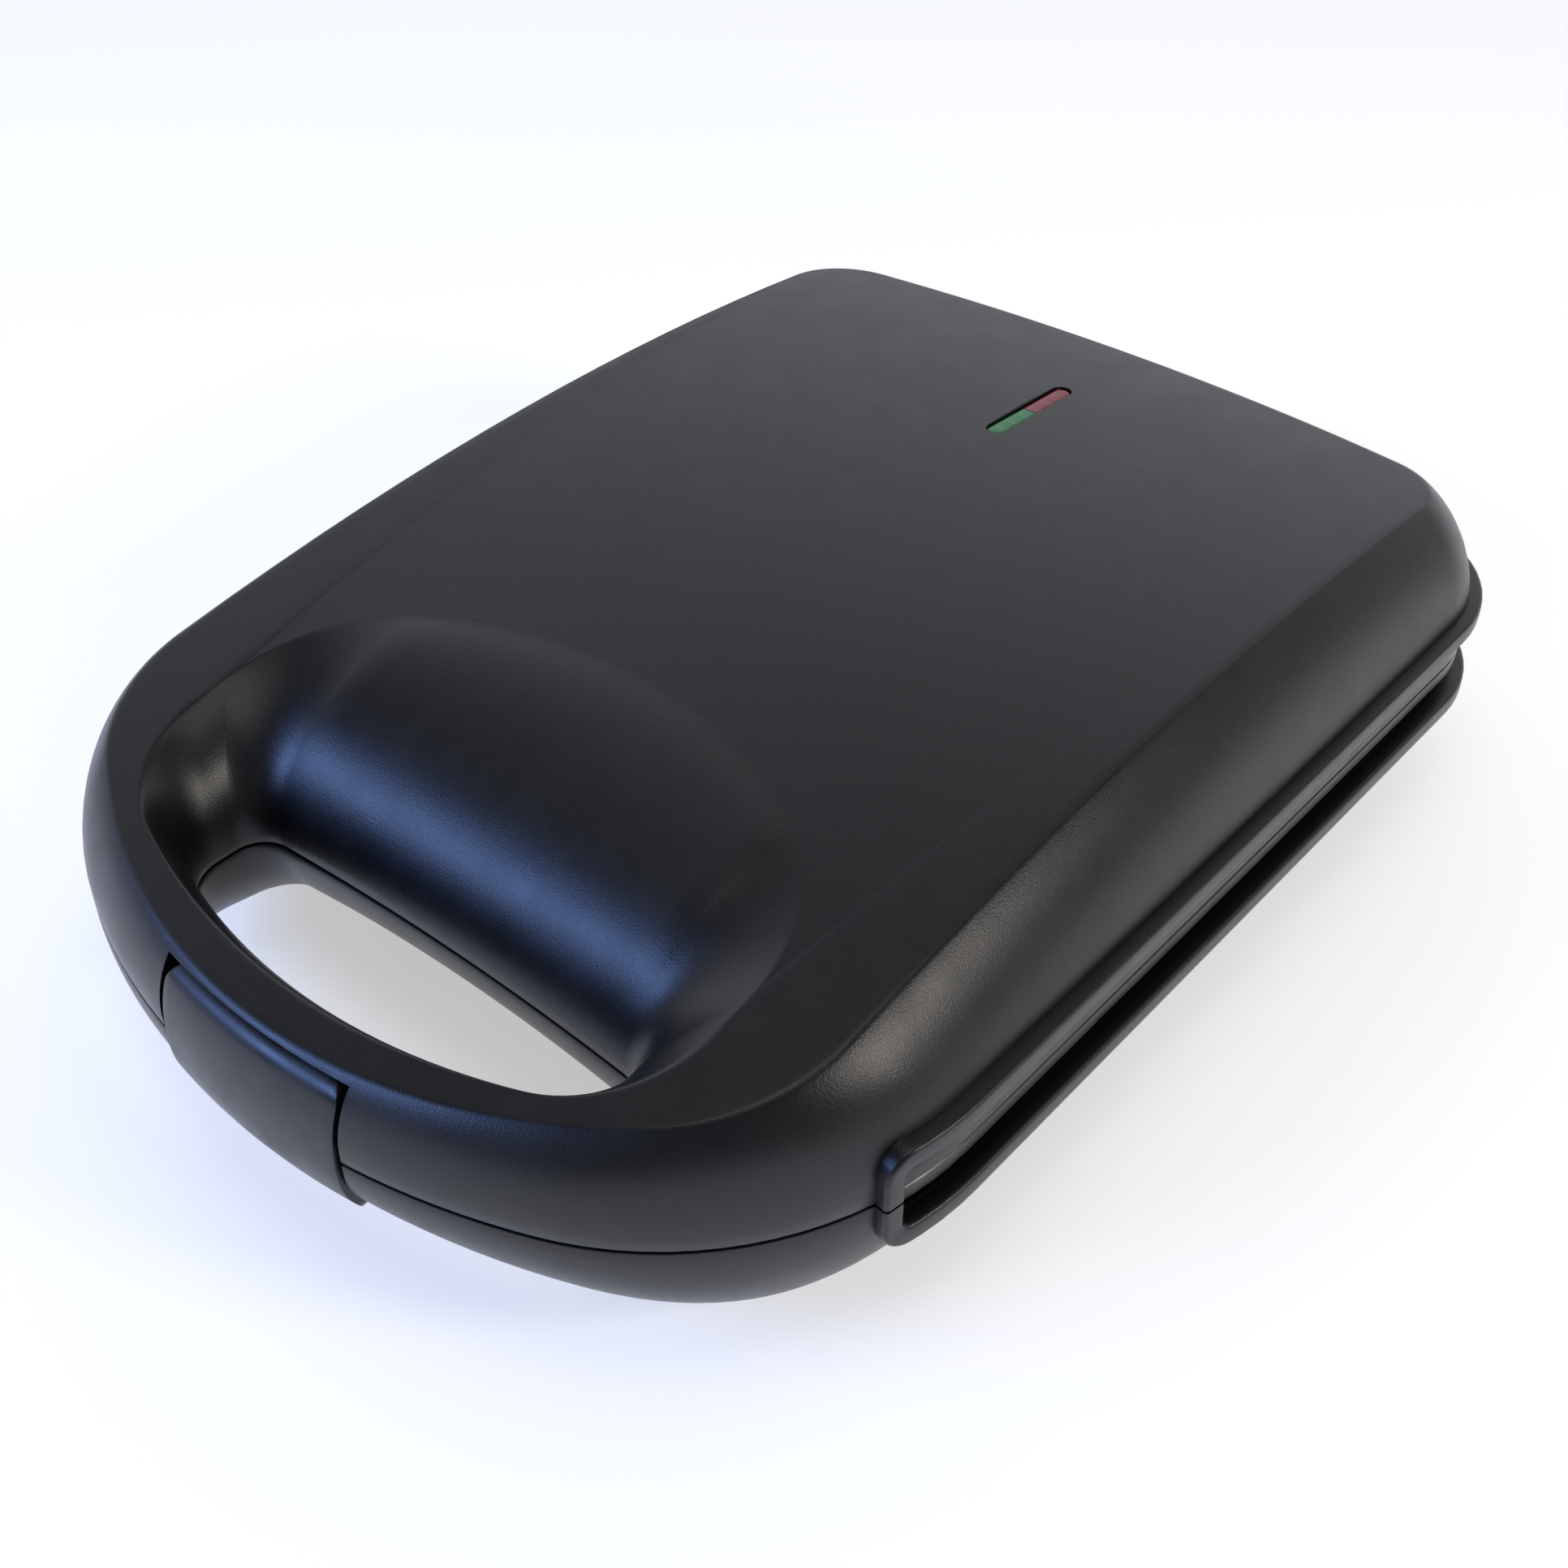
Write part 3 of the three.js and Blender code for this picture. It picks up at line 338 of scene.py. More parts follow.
class Finishes(Enum):
    """Every finish on the object."""

    # Black ABS from a spark-eroded mould: satin, with a soft highlight that sparkles. The real pits
    # are about 0.15 mm wide and are drawn at 0.45 mm, or the render would not show them.
    SHELL = ErodedPlastic(
        "eroded_black_abs", "0b0b0e", "0f0f13", roughness=0.34, roughness_spread=0.03, grain=0.45,
        grain_depth=0.03, slot="shell_plastic",
    )
    # The same ABS from a polished part of the mould, softly glossy.
    FRAME = ErodedPlastic(
        "polished_black_abs", "131316", "17171a", roughness=0.3, grain=0.6, grain_depth=0.006,
        slot="frame_plastic",
    )
    # A finer satin mould face, a little bluer than the housing and with a shallower grain.
    LATCH = ErodedPlastic(
        "satin_black_abs", "0f1013", "131519", roughness=0.36, grain=0.35, grain_depth=0.012,
        slot="latch_plastic",
    )
    # PTFE sprayed and cured on aluminium: charcoal, with a soft gloss and pale flecks.
    NONSTICK = NonstickCoating(
        "sprayed_nonstick", "1b1b1d", "222224", roughness=0.38, grain=0.9, grain_depth=0.02,
        slot="nonstick_aluminium",
    )
    # Bright zinc-plated steel, turned or cold-headed.
    STEEL = DrawnMetal(
        "zinc_plated_steel", "b4b6b8", "a9abad", metallic=1.0, roughness=0.3, grain=0.5, grain_depth=0.01,
        slot="steel",
    )
    # Steel tube annealed after bending, with a dull brown-grey oxide.
    SHEATH = DrawnMetal(
        "annealed_steel_tube", "6c6762", "5b5550", metallic=1.0, roughness=0.48, mottle=12.0, grain=0.5,
        grain_depth=0.012, slot="heater_sheath",
    )
    # Cold-rolled aluminium sheet, pressed: bright, with fine lines.
    ALUMINIUM = DrawnMetal(
        "rolled_aluminium", "c8cacc", "bdbfc2", metallic=1.0, roughness=0.34, grain=0.6, grain_depth=0.012,
        slot="aluminium",
    )
    # Dyed acrylic over a lamp that is off: a dark, glossy red.
    RED = TintedLens(
        "dyed_red_acrylic", "a82834", "96222d", roughness=0.14, ior=1.49, grain=0.9, grain_depth=0.05,
        slot="red_lens",
    )
    # Dyed acrylic over a lamp that is off: a dark, glossy green.
    GREEN = TintedLens(
        "dyed_green_acrylic", "2a9c58", "248a4c", roughness=0.14, ior=1.49, grain=0.9, grain_depth=0.05,
        slot="green_lens",
    )
    # Blown lamp glass: clear, with a warm tint.
    GLASS = Glass(
        "blown_lamp_glass", "e8d8c0", "e2d0b4", roughness=0.08, ior=1.47, grain=3.0, grain_depth=0.01,
        slot="lamp_glass",
    )
    # Pressed and fired steatite: chalky, off-white, with a faint speckle.
    CERAMIC = ErodedPlastic(
        "fired_steatite", "e6e2d8", "d9d4c7", roughness=0.55, mottle=4.0, grain=0.5, grain_depth=0.03,
        slot="ceramic",
    )
    # Natural nylon, plain moulded.
    TRAY = ErodedPlastic(
        "moulded_nylon", "d8d8d4", "cfcfca", roughness=0.5, grain=0.6, grain_depth=0.02,
        slot="tray_plastic",
    )
    # Moulded EPDM rubber: very matt, greyed by dust.
    RUBBER = ErodedPlastic(
        "moulded_rubber", "17171a", "222226", roughness=0.82, mottle=6.0, grain=0.5, grain_depth=0.05,
        slot="rubber",
    )


# Meshes


@dataclass(frozen=True)
class Site:
    """Where the drawing's origin lies in the row frame."""

    shift_y: float
    closing_z: float

    def place(self, points: Array, half: Half) -> Array:
        """Turns drawing points of a half into row points.

        Args:
            points: rows of X, Y and height in millimetres.
            half: the half that they belong to.

        Returns:
            Rows of X, Y and Z in metres.
        """
        out = np.array(points, float)
        out[:, 2] *= half.value
        return (out + (0.0, self.shift_y, self.closing_z)) * MM


HINGE_Y = 199.0


def find_site() -> Site:
    """Reads the drawing's place from the lid's hinge axis."""
    hinge = next(j for j in frame["joints"] if j["name"] == "lid_hinge")
    _, y, z = hinge["pos_m"]
    return Site(y / MM - HINGE_Y, z / MM)


SITE = find_site()


def make_piece(name: str, points: Array, faces: Sequence[Sequence[int]], half: Half) -> Piece:
    """Makes a closed mesh object from drawing points.

    Args:
        name: the piece's name.
        points: rows of X, Y and height in millimetres.
        faces: point numbers of each face.
        half: the half that it belongs to.

    Returns:
        The linked object, with its faces turned outward.
    """
    mesh = bpy.data.meshes.new(name)
    mesh.from_pydata(SITE.place(points, half).tolist(), [], [list(f) for f in faces])
    edit = bmesh.new()
    edit.from_mesh(mesh)
    bmesh.ops.recalc_face_normals(edit, faces=edit.faces)
    edit.to_mesh(mesh)
    edit.free()
    piece = bpy.data.objects.new(name, mesh)
    bpy.context.scene.collection.objects.link(piece)
    return piece


def loft(name: str, rings: Sequence[Array], half: Half, wrapped: bool = False) -> Piece:
    """Joins rings of equal point counts into a closed skin.

    Args:
        name: the piece's name.
        rings: the rings in order.
        half: the half that it belongs to.
        wrapped: whether the last ring joins the first, or both ends get a cap.

    Returns:
        The object.
    """
    count = len(rings[0])
    faces: list[list[int]] = []
    for r in range(len(rings) if wrapped else len(rings) - 1):
        low, high = r * count, (r + 1) % len(rings) * count
        faces += [[low + i, low + (i + 1) % count, high + (i + 1) % count, high + i] for i in range(count)]
    if not wrapped:
        faces += [list(range(count))[::-1], list(range((len(rings) - 1) * count, len(rings) * count))]
    return make_piece(name, np.concatenate(rings), faces, half)


def level(plan: Array, z: float) -> Array:
    """Lifts plan points to a height."""
    return np.column_stack([plan[:, :2], np.full(len(plan), z)])


def prism(name: str, plan: Array, z0: float, z1: float, half: Half) -> Piece:
    """Makes an upright prism of a plan shape between two heights."""
    return loft(name, [level(plan, z0), level(plan, z1)], half)


def oblong(x0: float, x1: float, y0: float, y1: float) -> Shape:
    """Draws a rectangle as plan points."""
    return np.array([(x0, y0), (x1, y0), (x1, y1), (x0, y1)])


def rounded_rect(
    half_x: float, half_y: float, corner: float, x: float = 0.0, y: float = 0.0, steps: int = 8
) -> Shape:
    """Draws a rectangle with round corners.

    Args:
        half_x: half of its width.
        half_y: half of its length.
        corner: the corners' radius.
        x: its middle.
        y: its middle.
        steps: stretches in each corner.

    Returns:
        Its plan points, counter-clockwise.
    """
    points = []
    for k, (sx, sy) in enumerate([(1, 1), (-1, 1), (-1, -1), (1, -1)]):
        for i in range(steps + 1):
            a = QUARTER * (k + i / steps)
            across = x + sx * (half_x - corner) + corner * math.cos(a)
            points.append((across, y + sy * (half_y - corner) + corner * math.sin(a)))
    return np.array(points)


def circle(radius: float, x: float = 0.0, y: float = 0.0, sides: int = 48) -> Shape:
    """Draws a circle as plan points."""
    a = TURN * np.arange(sides) / sides
    return np.column_stack([x + radius * np.cos(a), y + radius * np.sin(a)])


def lathe(
    name: str,
    profile: Sequence[tuple[float, float]],
    centre: Sequence[float],
    axis: Vector,
    half: Half,
    sides: int,
) -> Piece:
    """Turns a profile round an axis into a closed piece.

    Args:
        name: the piece's name.
        profile: pairs of place along the axis and radius, from one end to the other.
        centre: the axis's zero point, in the drawing.
        axis: the axis's direction, in the drawing.
        half: the half that it belongs to.
        sides: points round the axis.

    Returns:
        The object.
    """
    along = axis.normalized()
    across = along.orthogonal().normalized()
    over = along.cross(across)
    a = TURN * np.arange(sides) / sides
    rings = []
    for place, radius in profile:
        ring = np.outer(np.cos(a), across) * radius + np.outer(np.sin(a), over) * radius
        rings.append(ring + np.array(along) * place + np.array(centre, float))
    return loft(name, rings, half)


def sweep(name: str, path: Array, section: Array, half: Half, outward: Array) -> Piece:
    """Carries a section along a path.

    Args:
        name: the piece's name.
        path: rows of X, Y and height.
        section: rows of (outward, upward) places.
        half: the half that it belongs to.
        outward: the section's first direction at each path point.

    Returns:
        The object.
    """
    rings = []
    for i, point in enumerate(path):
        along = path[min(i + 1, len(path) - 1)] - path[max(i - 1, 0)]
        along = along / np.linalg.norm(along)
        across = outward[i] - along * (outward[i] @ along)
        across = across / np.linalg.norm(across)
        over = np.cross(along, across)
        rings.append(point + np.outer(section[:, 0], across) + np.outer(section[:, 1], over))
    return loft(name, rings, half)


def bake(piece: Piece) -> Piece:
    """Applies a piece's modifiers to its mesh."""
    evaluated = piece.evaluated_get(bpy.context.evaluated_depsgraph_get())
    mesh = bpy.data.meshes.new_from_object(evaluated)
    piece.modifiers.clear()
    old = piece.data
    piece.data = mesh
    bpy.data.meshes.remove(old)
    return piece


def combine(piece: Piece, tools: Sequence[Piece], operation: str) -> Piece:
    """Joins, cuts or crosses a piece with tools, which are used up.

    Args:
        piece: the piece that is changed.
        tools: the other pieces.
        operation: "UNION", "DIFFERENCE" or "INTERSECT".

    Returns:
        The changed piece.

    Raises:
        RuntimeError: if nothing is left of the piece.
    """
    for tool in tools:
        step = piece.modifiers.new("step", "BOOLEAN")
        step.object = tool
        step.operation = operation
        step.solver = "EXACT"
        bpy.context.view_layer.update()
        bake(piece)
        if not piece.data.polygons:
            raise RuntimeError(f"{piece.name} is empty after {tool.name}")
        bpy.data.objects.remove(tool)
    return piece


def round_edges(piece: Piece, width: float, segments: int, angle: float) -> Piece:
    """Rounds a piece's sharp edges.

    Args:
        piece: the piece.
        width: the rounding's width in millimetres.
        segments: stretches in the rounding.
        angle: edges sharper than this, in degrees, are rounded.

    Returns:
        The piece.
    """
    bevel = piece.modifiers.new("edges", "BEVEL")
    bevel.width = width * MM
    bevel.segments = segments
    bevel.limit_method = "ANGLE"
    bevel.angle_limit = math.radians(angle)
    bevel.miter_outer = "MITER_ARC"
    bevel.harden_normals = False
    return bake(piece)


def settle(piece: Piece, finish: Finishes, body: str, *nodes: str, angle: float = 32.0) -> None:
    """Shades a piece smooth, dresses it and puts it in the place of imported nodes.

    Args:
        piece: the piece.
        finish: its finish.
        body: the body that it rides on.
        nodes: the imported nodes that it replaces.
        angle: edges sharper than this, in degrees, stay sharp.
    """
    piece.data.polygons.foreach_set("use_smooth", [True] * len(piece.data.polygons))
    piece.data.set_sharp_from_angle(angle=math.radians(angle))
    finish.value.dress(piece)
    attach(piece, body)
    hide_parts(*nodes)
    log.info("%s: %d faces", piece.name, len(piece.data.polygons))


# The housing's form


@dataclass(frozen=True)
class Steps:
    """Stretches along each part of an outline and across each part of the skin."""

    rear: int = 10
    rear_corner: int = 14
    side: int = 16
    front_corner: int = 18
    front: int = 14
    shoulder: int = 14
    top: int = 8
    scoop: int = 18
    rounding: int = 4


FINE = Steps()
INSIDE = Steps(
    rear=4, rear_corner=6, side=4, front_corner=8, front=6, shoulder=5, top=4, scoop=8, rounding=0
)


@dataclass(frozen=True)
class Outline:
    """A plan outline: bowed rear edge, round corners, straight sides and a bowed front edge."""

    half: float
    rear: float
    rear_bow: float
    rear_corner: float
    front: float
    front_bow: float
    front_corner: float

    def inset(self, by: float) -> Outline:
        """Returns the outline pulled in all round, or pushed out by a negative value."""
        return Outline(
            self.half - by,
            self.rear - by,
            self.rear_bow - by,
            self.rear_corner - by,
            self.front + by,
            self.front_bow - by,
            self.front_corner - by,
        )

    def right(self, steps: Steps) -> Array:
        """Draws the right half from the rear's middle to the front's.

        Args:
            steps: stretches along each part.

        Returns:
            Rows of X, Y and stage, which is 0 on the rear edge and rises to 1 round the rear corner.
        """
        corner, turn = self.rear_corner, self.front_corner
        rear_x = self.half - corner
        rear_drop = math.sqrt((self.rear_bow - corner) ** 2 - rear_x**2)
        rear_y = self.rear - self.rear_bow + rear_drop
        rear_angle = math.atan2(rear_x, rear_drop)
        front_x = self.half - turn
        front_drop = math.sqrt((self.front_bow - turn) ** 2 - front_x**2)
        front_y = self.front + self.front_bow - front_drop
        front_angle = math.atan2(front_x, front_drop)
        points = []
        for i in range(steps.rear):
            a = rear_angle * i / steps.rear
            y = self.rear - self.rear_bow * (1 - math.cos(a))
            points.append((self.rear_bow * math.sin(a), y, 0.0))
        for i in range(steps.rear_corner):
            t = i / steps.rear_corner
            a = rear_angle + (QUARTER - rear_angle) * t
            points.append((rear_x + corner * math.sin(a), rear_y + corner * math.cos(a), t))
        for i in range(steps.side):
            points.append((self.half, rear_y + (front_y - rear_y) * i / steps.side, 1.0))
        for i in range(steps.front_corner):
            a = QUARTER - (QUARTER - front_angle) * i / steps.front_corner
            points.append((front_x + turn * math.sin(a), front_y - turn * math.cos(a), 1.0))
        for i in range(steps.front + 1):
            a = front_angle * (1 - i / steps.front)
            y = self.front + self.front_bow * (1 - math.cos(a))
            points.append((self.front_bow * math.sin(a), y, 1.0))
        return np.array(points)

    def ring(self, steps: Steps) -> Array:
        """Draws the whole outline, counter-clockwise from the rear's middle."""
        right = self.right(steps)
        left = right * (-1.0, 1.0, 1.0)
        return np.concatenate([left, right[1:-1][::-1]])


PARTING = Outline(131, 187.5, 640, 42, -187.5, 197, 88)
CREASE = Outline(113, 170, 586, 22, -180.4, 161.4, 48)
SCOOP = Outline(88.4, -56, 131, 50, -170.8, 193, 36)
HOLE = Outline(68.4, -124.5, 900, 9, -163.1, 193, 13)


@dataclass(frozen=True)
class Arch:
    """The arch along Y of a half's top."""

    crown: float
    crown_y: float
    radius: float
    front_only: bool = False

    def height(self, y: Array) -> Array:
        """Returns the top's height over each Y."""
        off = np.asarray(y, float) - self.crown_y
        off = np.minimum(off, 0.0) if self.front_only else off
        return self.crown - self.radius + np.sqrt(self.radius**2 - off**2)


LID_ARCH = Arch(49.5, 53.5, 992)
BASE_ARCH = Arch(40, -60, 345, front_only=True)

WALL = 2.6
EDGE_GAP = 0.4
FLANK_SHARE = 0.15
SHOULDER_START = math.radians(37.2)
RIM_START = math.radians(36)
CLEARANCE = 0.3
CREASE_ROUND = 1.5
RIM_ROUND = 1.6
FOOT_ROUND = 0.45
FOOT_TURN = (0.7, 0.3)  # the middle of that rounding, as shares outward and upward


def mix(a: Array | float, b: Array | float, t: Array | float) -> Array:
    """Returns the point a share of the way from a to b."""
    return a + (b - a) * t


def bezier(a: Sequence[float], b: Sequence[float], c: Sequence[float], t: float) -> Array:
    """Returns the point at t on a curve with one control point."""
    first, middle, last = (np.asarray(p, float) for p in (a, b, c))
    return mix(mix(first, middle, t), mix(middle, last, t), t)


def rounded_ring(before: Array, corner: Array, after: Array, reach: float, steps: int) -> list[Array]:
    """Rounds the edge where two stretches of skin meet.

    Args:
        before: a ring on the first stretch.
        corner: the ring of the edge.
        after: a ring on the second stretch.
        reach: how far from the edge the rounding begins.
        steps: stretches in the rounding, or 0 to keep the edge.

    Returns:
        The rings that take the edge's place.
    """
    if steps == 0:
        return [corner]

    def off(other: Array) -> Array:
        """Returns the points where the rounding meets a stretch."""
        span = other - corner
        return corner + span * (reach / np.maximum(np.linalg.norm(span, axis=1, keepdims=True), reach))

    start, end = off(before), off(after)
    return [bezier(start, corner, end, t) for t in np.linspace(0.0, 1.0, steps + 1)]


def housing_rings(arch: Arch, low: float, by: float, steps: Steps) -> list[Array]:
    """Draws a housing form as rings: flank, rolled shoulder, crease, arched top, scoop and hand opening.

    Args:
        arch: the half's arch.
        low: the height of the first ring.
        by: how far the whole form is pulled in, which gives the housing's hollow.
        steps: how fine it is.

    Returns:
        The rings, to be wrapped into a closed skin.
    """
    foot = PARTING.inset(by).ring(steps)
    crease = CREASE.inset(by).ring(steps)
    rim = SCOOP.inset(-by).ring(steps)
    hole = HOLE.inset(-by).ring(steps)
    crest = arch.height(crease[:, 1]) - by
    outward, upward = FOOT_TURN
    rings = [level(foot, low)]
    if steps.rounding:
        slim = PARTING.inset(by + FOOT_ROUND).ring(steps)
        turned = level(mix(slim, foot, outward), low + upward * FOOT_ROUND)
        rings = [level(slim, low), turned, level(foot, low + FOOT_ROUND)]
    shoulder = []
    for k in range(steps.shoulder + 1):
        a = mix(QUARTER, SHOULDER_START, k / steps.shoulder)
        out = (math.sin(a) - math.sin(SHOULDER_START)) / (1 - math.sin(SHOULDER_START))
        up = math.cos(a) / math.cos(SHOULDER_START)
        plan = mix(crease[:, :2], foot[:, :2], out)
        shoulder.append(np.column_stack([plan, mix(crest * FLANK_SHARE, crest, up)]))
    top = []
    for k in range(steps.top + 1):
        plan = mix(crease[:, :2], rim[:, :2], k / steps.top)
        top.append(np.column_stack([plan, arch.height(plan[:, 1]) - by]))
    scoop = []
    start = RIM_START * rim[:, 2]
    for k in range(steps.scoop + 1):
        a = mix(start, QUARTER, k / steps.scoop)
        inward = (np.sin(a) - np.sin(start)) / (1 - np.sin(start))
        up = np.cos(a) / np.cos(start)
        plan = mix(rim[:, :2], hole[:, :2], inward[:, None])
        scoop.append(np.column_stack([plan, mix(EDGE_GAP, arch.height(rim[:, 1]) - by, up)]))
    rings += shoulder[:-1]
    rings += rounded_ring(shoulder[-2], shoulder[-1], top[1], CREASE_ROUND, steps.rounding)
    rings += top[1:-1]
    rings += rounded_ring(top[-2], scoop[0], scoop[1], RIM_ROUND, steps.rounding)
    rings += scoop[1:]
    if low < EDGE_GAP:
        rings.append(level(hole, low))
    elif steps.rounding:
        wide = HOLE.inset(-by - FOOT_ROUND).ring(steps)
        rings[-1] = level(hole, EDGE_GAP + FOOT_ROUND)
        rings += [level(mix(wide, hole, outward), low + upward * FOOT_ROUND), level(wide, low)]
    return rings


# Sub-assemblies


@dataclass
class Latch:
    """The latch clip on the handle, and the notch that it lies in."""

    half_width: float = 30.0
    pivot_y: float = PARTING.front + 9.0
    pivot_z: float = 12.5
    head: float = 6.9
    proud: float = 0.6
    depth: float = 9.5
    foot: float = -22.5
    toe: float = 1.9
    bend_from: float = -3.0
    bend_to: float = -15.0
    corner: float = 5.0
    gap: float = 1.5
    pin_radius: float = 1.2
    pin_reach: float = 3.0
    turn: float = math.radians(155)
    housing_wall: float = 5.0
    edge: float = 0.5
    steps: int = 24
    brow_steps: int = 10
    curl_steps: int = 14

    @property
    def face_y(self) -> float:
        """The clip's face at the middle of the handle."""
        return PARTING.front - self.proud

    def section(self, grown: float) -> Array:
        """Draws the clip's section: round head, flat face that curls in at the foot, flat back.

        Args:
            grown: how far it is pushed out all round.

        Returns:
            Rows of Y and height.
        """
        head = self.head + grown
        face = self.face_y - grown
        back = self.face_y + self.depth + grown
        foot = self.foot - grown
        toe = self.face_y + self.depth - self.toe - grown
        start = -math.acos((back - self.pivot_y) / head)
        tangent_y = self.pivot_y + head * math.cos(self.turn)
        tangent_z = self.pivot_z + head * math.sin(self.turn)
        blend_z = tangent_z + (tangent_y - face) / math.sin(self.turn) * math.cos(self.turn)
        points = [(back, foot), (back, 0.0)]
        for a in np.linspace(start, self.turn, self.steps):
            points.append((self.pivot_y + head * math.cos(a), self.pivot_z + head * math.sin(a)))
        brow = ((tangent_y, tangent_z), (face, blend_z), (face, self.bend_from))
        curl = ((face, self.bend_from), (face, self.bend_to), (toe, foot))
        for curve, steps in ((brow, self.brow_steps), (curl, self.curl_steps)):
            points += [tuple(bezier(*curve, t)) for t in np.linspace(0, 1, steps)[1:]]
        return np.array(points)

    def bar(self, name: str, half_width: float, grown: float, half: Half) -> Piece:
        """Runs the section along the bowed front of the handle.

        Args:
            name: the piece's name.
            half_width: half of its width.
            grown: how far the section is pushed out.
            half: LID draws it as it is, BASE as the base's own drawing sees it.

        Returns:
            The object.
        """
        section = self.section(grown)
        rings = []
        for x in np.linspace(-half_width, half_width, self.steps + 1):
            sag = PARTING.front_bow - math.sqrt(PARTING.front_bow**2 - x**2)
            ring = np.column_stack([np.full(len(section), x), section[:, 0] + sag, section[:, 1]])
            rings.append(ring * (1, 1, half.value))
        return loft(name, rings, half)

    def notch(self, half: Half) -> Piece:
        """Makes the tool that cuts the clip's notch."""
        return self.bar("notch", self.half_width + self.gap, self.gap, half)

    def pin_hole(self) -> Piece:
        """Makes the tool that cuts the pin's hole."""
        reach = self.half_width + self.gap + self.pin_reach + CLEARANCE
        radius = self.pin_radius + CLEARANCE
        middle = (0, self.pivot_y, self.pivot_z)
        return lathe("latch_pin_hole", [(-reach, radius), (reach, radius)], middle, ALONG_X, Half.LID, 24)

    def front_shape(self) -> Piece:
        """Makes the tool that rounds the clip's corners."""
        middle = (self.pivot_z + self.head + self.foot) / 2
        half_height = self.pivot_z + self.head - middle
        plan = rounded_rect(self.half_width, half_height, self.corner, 0, middle, 8)
        near = level(plan, 0)[:, [0, 2, 1]] + (0, self.face_y - OVERRUN, 0)
        far = near + (0, 2 * OVERRUN + self.depth + 2 * self.head, 0)
        return loft("front_shape", [near, far], Half.LID)

    def seat(self, half: Half) -> Piece:
        """Makes the stretch of handle that the notch is cut into, taken out of the hollow."""
        reach = self.half_width + self.gap + self.housing_wall
        plan = oblong(-reach, reach, PARTING.front - OVERRUN, HOLE.front + OVERRUN)
        return prism("latch_seat", plan, -2 * OVERRUN, LID_ARCH.crown, half)

    def build(self) -> None:
        """Makes the clip."""
        clip = self.bar("latch_clip_fine", self.half_width, 0.0, Half.LID)
        combine(clip, [self.front_shape()], "INTERSECT")
        combine(clip, [self.pin_hole()], "DIFFERENCE")
        round_edges(clip, self.edge, 3, 40.0)
        settle(clip, Finishes.LATCH, "latch", "latch_clip")

@dataclass
class Bead:
    """The raised bead round the window's upper edge, with turned-down front ends."""

    z: float = 12.6
    half_height: float = 2.9
    half_depth: float = 3.0
    corner: float = 1.2
    turn: float = 5.0
    radius: float = 3.0
    turn_steps: int = 8
    rest: float = 1.0

    def build(self, half: Half) -> Piece:
        """Sweeps the bead round the rear from one window's front end to the other's."""
        end = WINDOW.front - self.radius
        outline = PARTING.right(FINE)[::-1]
        low = [(end, EDGE_GAP)]
        for a in np.linspace(0.0, QUARTER, self.turn_steps):
            low.append((end + self.turn * (1 - math.cos(a)), self.z - self.turn * (1 - math.sin(a))))
        path = [(float(np.interp(y, outline[:, 1], outline[:, 0])), y, z) for y, z in low]
        rear = outline[outline[:, 1] > end + self.turn + self.rest]
        out = []
        for i, (x, y, _) in enumerate(rear):
            path.append((x, y, self.z))
            span = rear[min(i + 1, len(rear) - 1)] - rear[max(i - 1, 0)]
            length = math.hypot(span[0], span[1])
            out.append((span[1] / length, -span[0] / length, 0.0))
        out[-1] = (0.0, 1.0, 0.0)
        out = [out[0]] * len(low) + out
        right, side = np.array(path), np.array(out)
        whole = np.concatenate([right, (right[:-1] * (-1, 1, 1))[::-1]])
        outward = np.concatenate([side, (side[:-1] * (-1, 1, 1))[::-1]])
        section = rounded_rect(self.half_depth, self.half_height, self.corner, steps=5)
        return sweep("bead", whole, section, half, outward)


@dataclass
class Window:
    """The band of wall that is open between the lid's bead and the base's."""

    front: float = -112.5
    top: float = 10.2
    depth: float = 4.0
    tall: float = 50.0

    def cutter(self, half: Half) -> Piece:
        """Makes the tool that opens the window."""
        low = -2 * OVERRUN
        reach = PARTING.half + 2 * OVERRUN
        ring = prism("window", PARTING.inset(-OVERRUN).ring(FINE), -OVERRUN, self.top, half)
        core = prism("window_core", PARTING.inset(self.depth).ring(FINE), low, self.top + OVERRUN, half)
        combine(ring, [core], "DIFFERENCE")
        plan = oblong(-reach, reach, self.front, PARTING.rear + 2 * OVERRUN)
        return combine(ring, [prism("window_reach", plan, low, self.tall, half)], "INTERSECT")


WINDOW = Window()
BEAD = Bead()
LATCH = Latch()


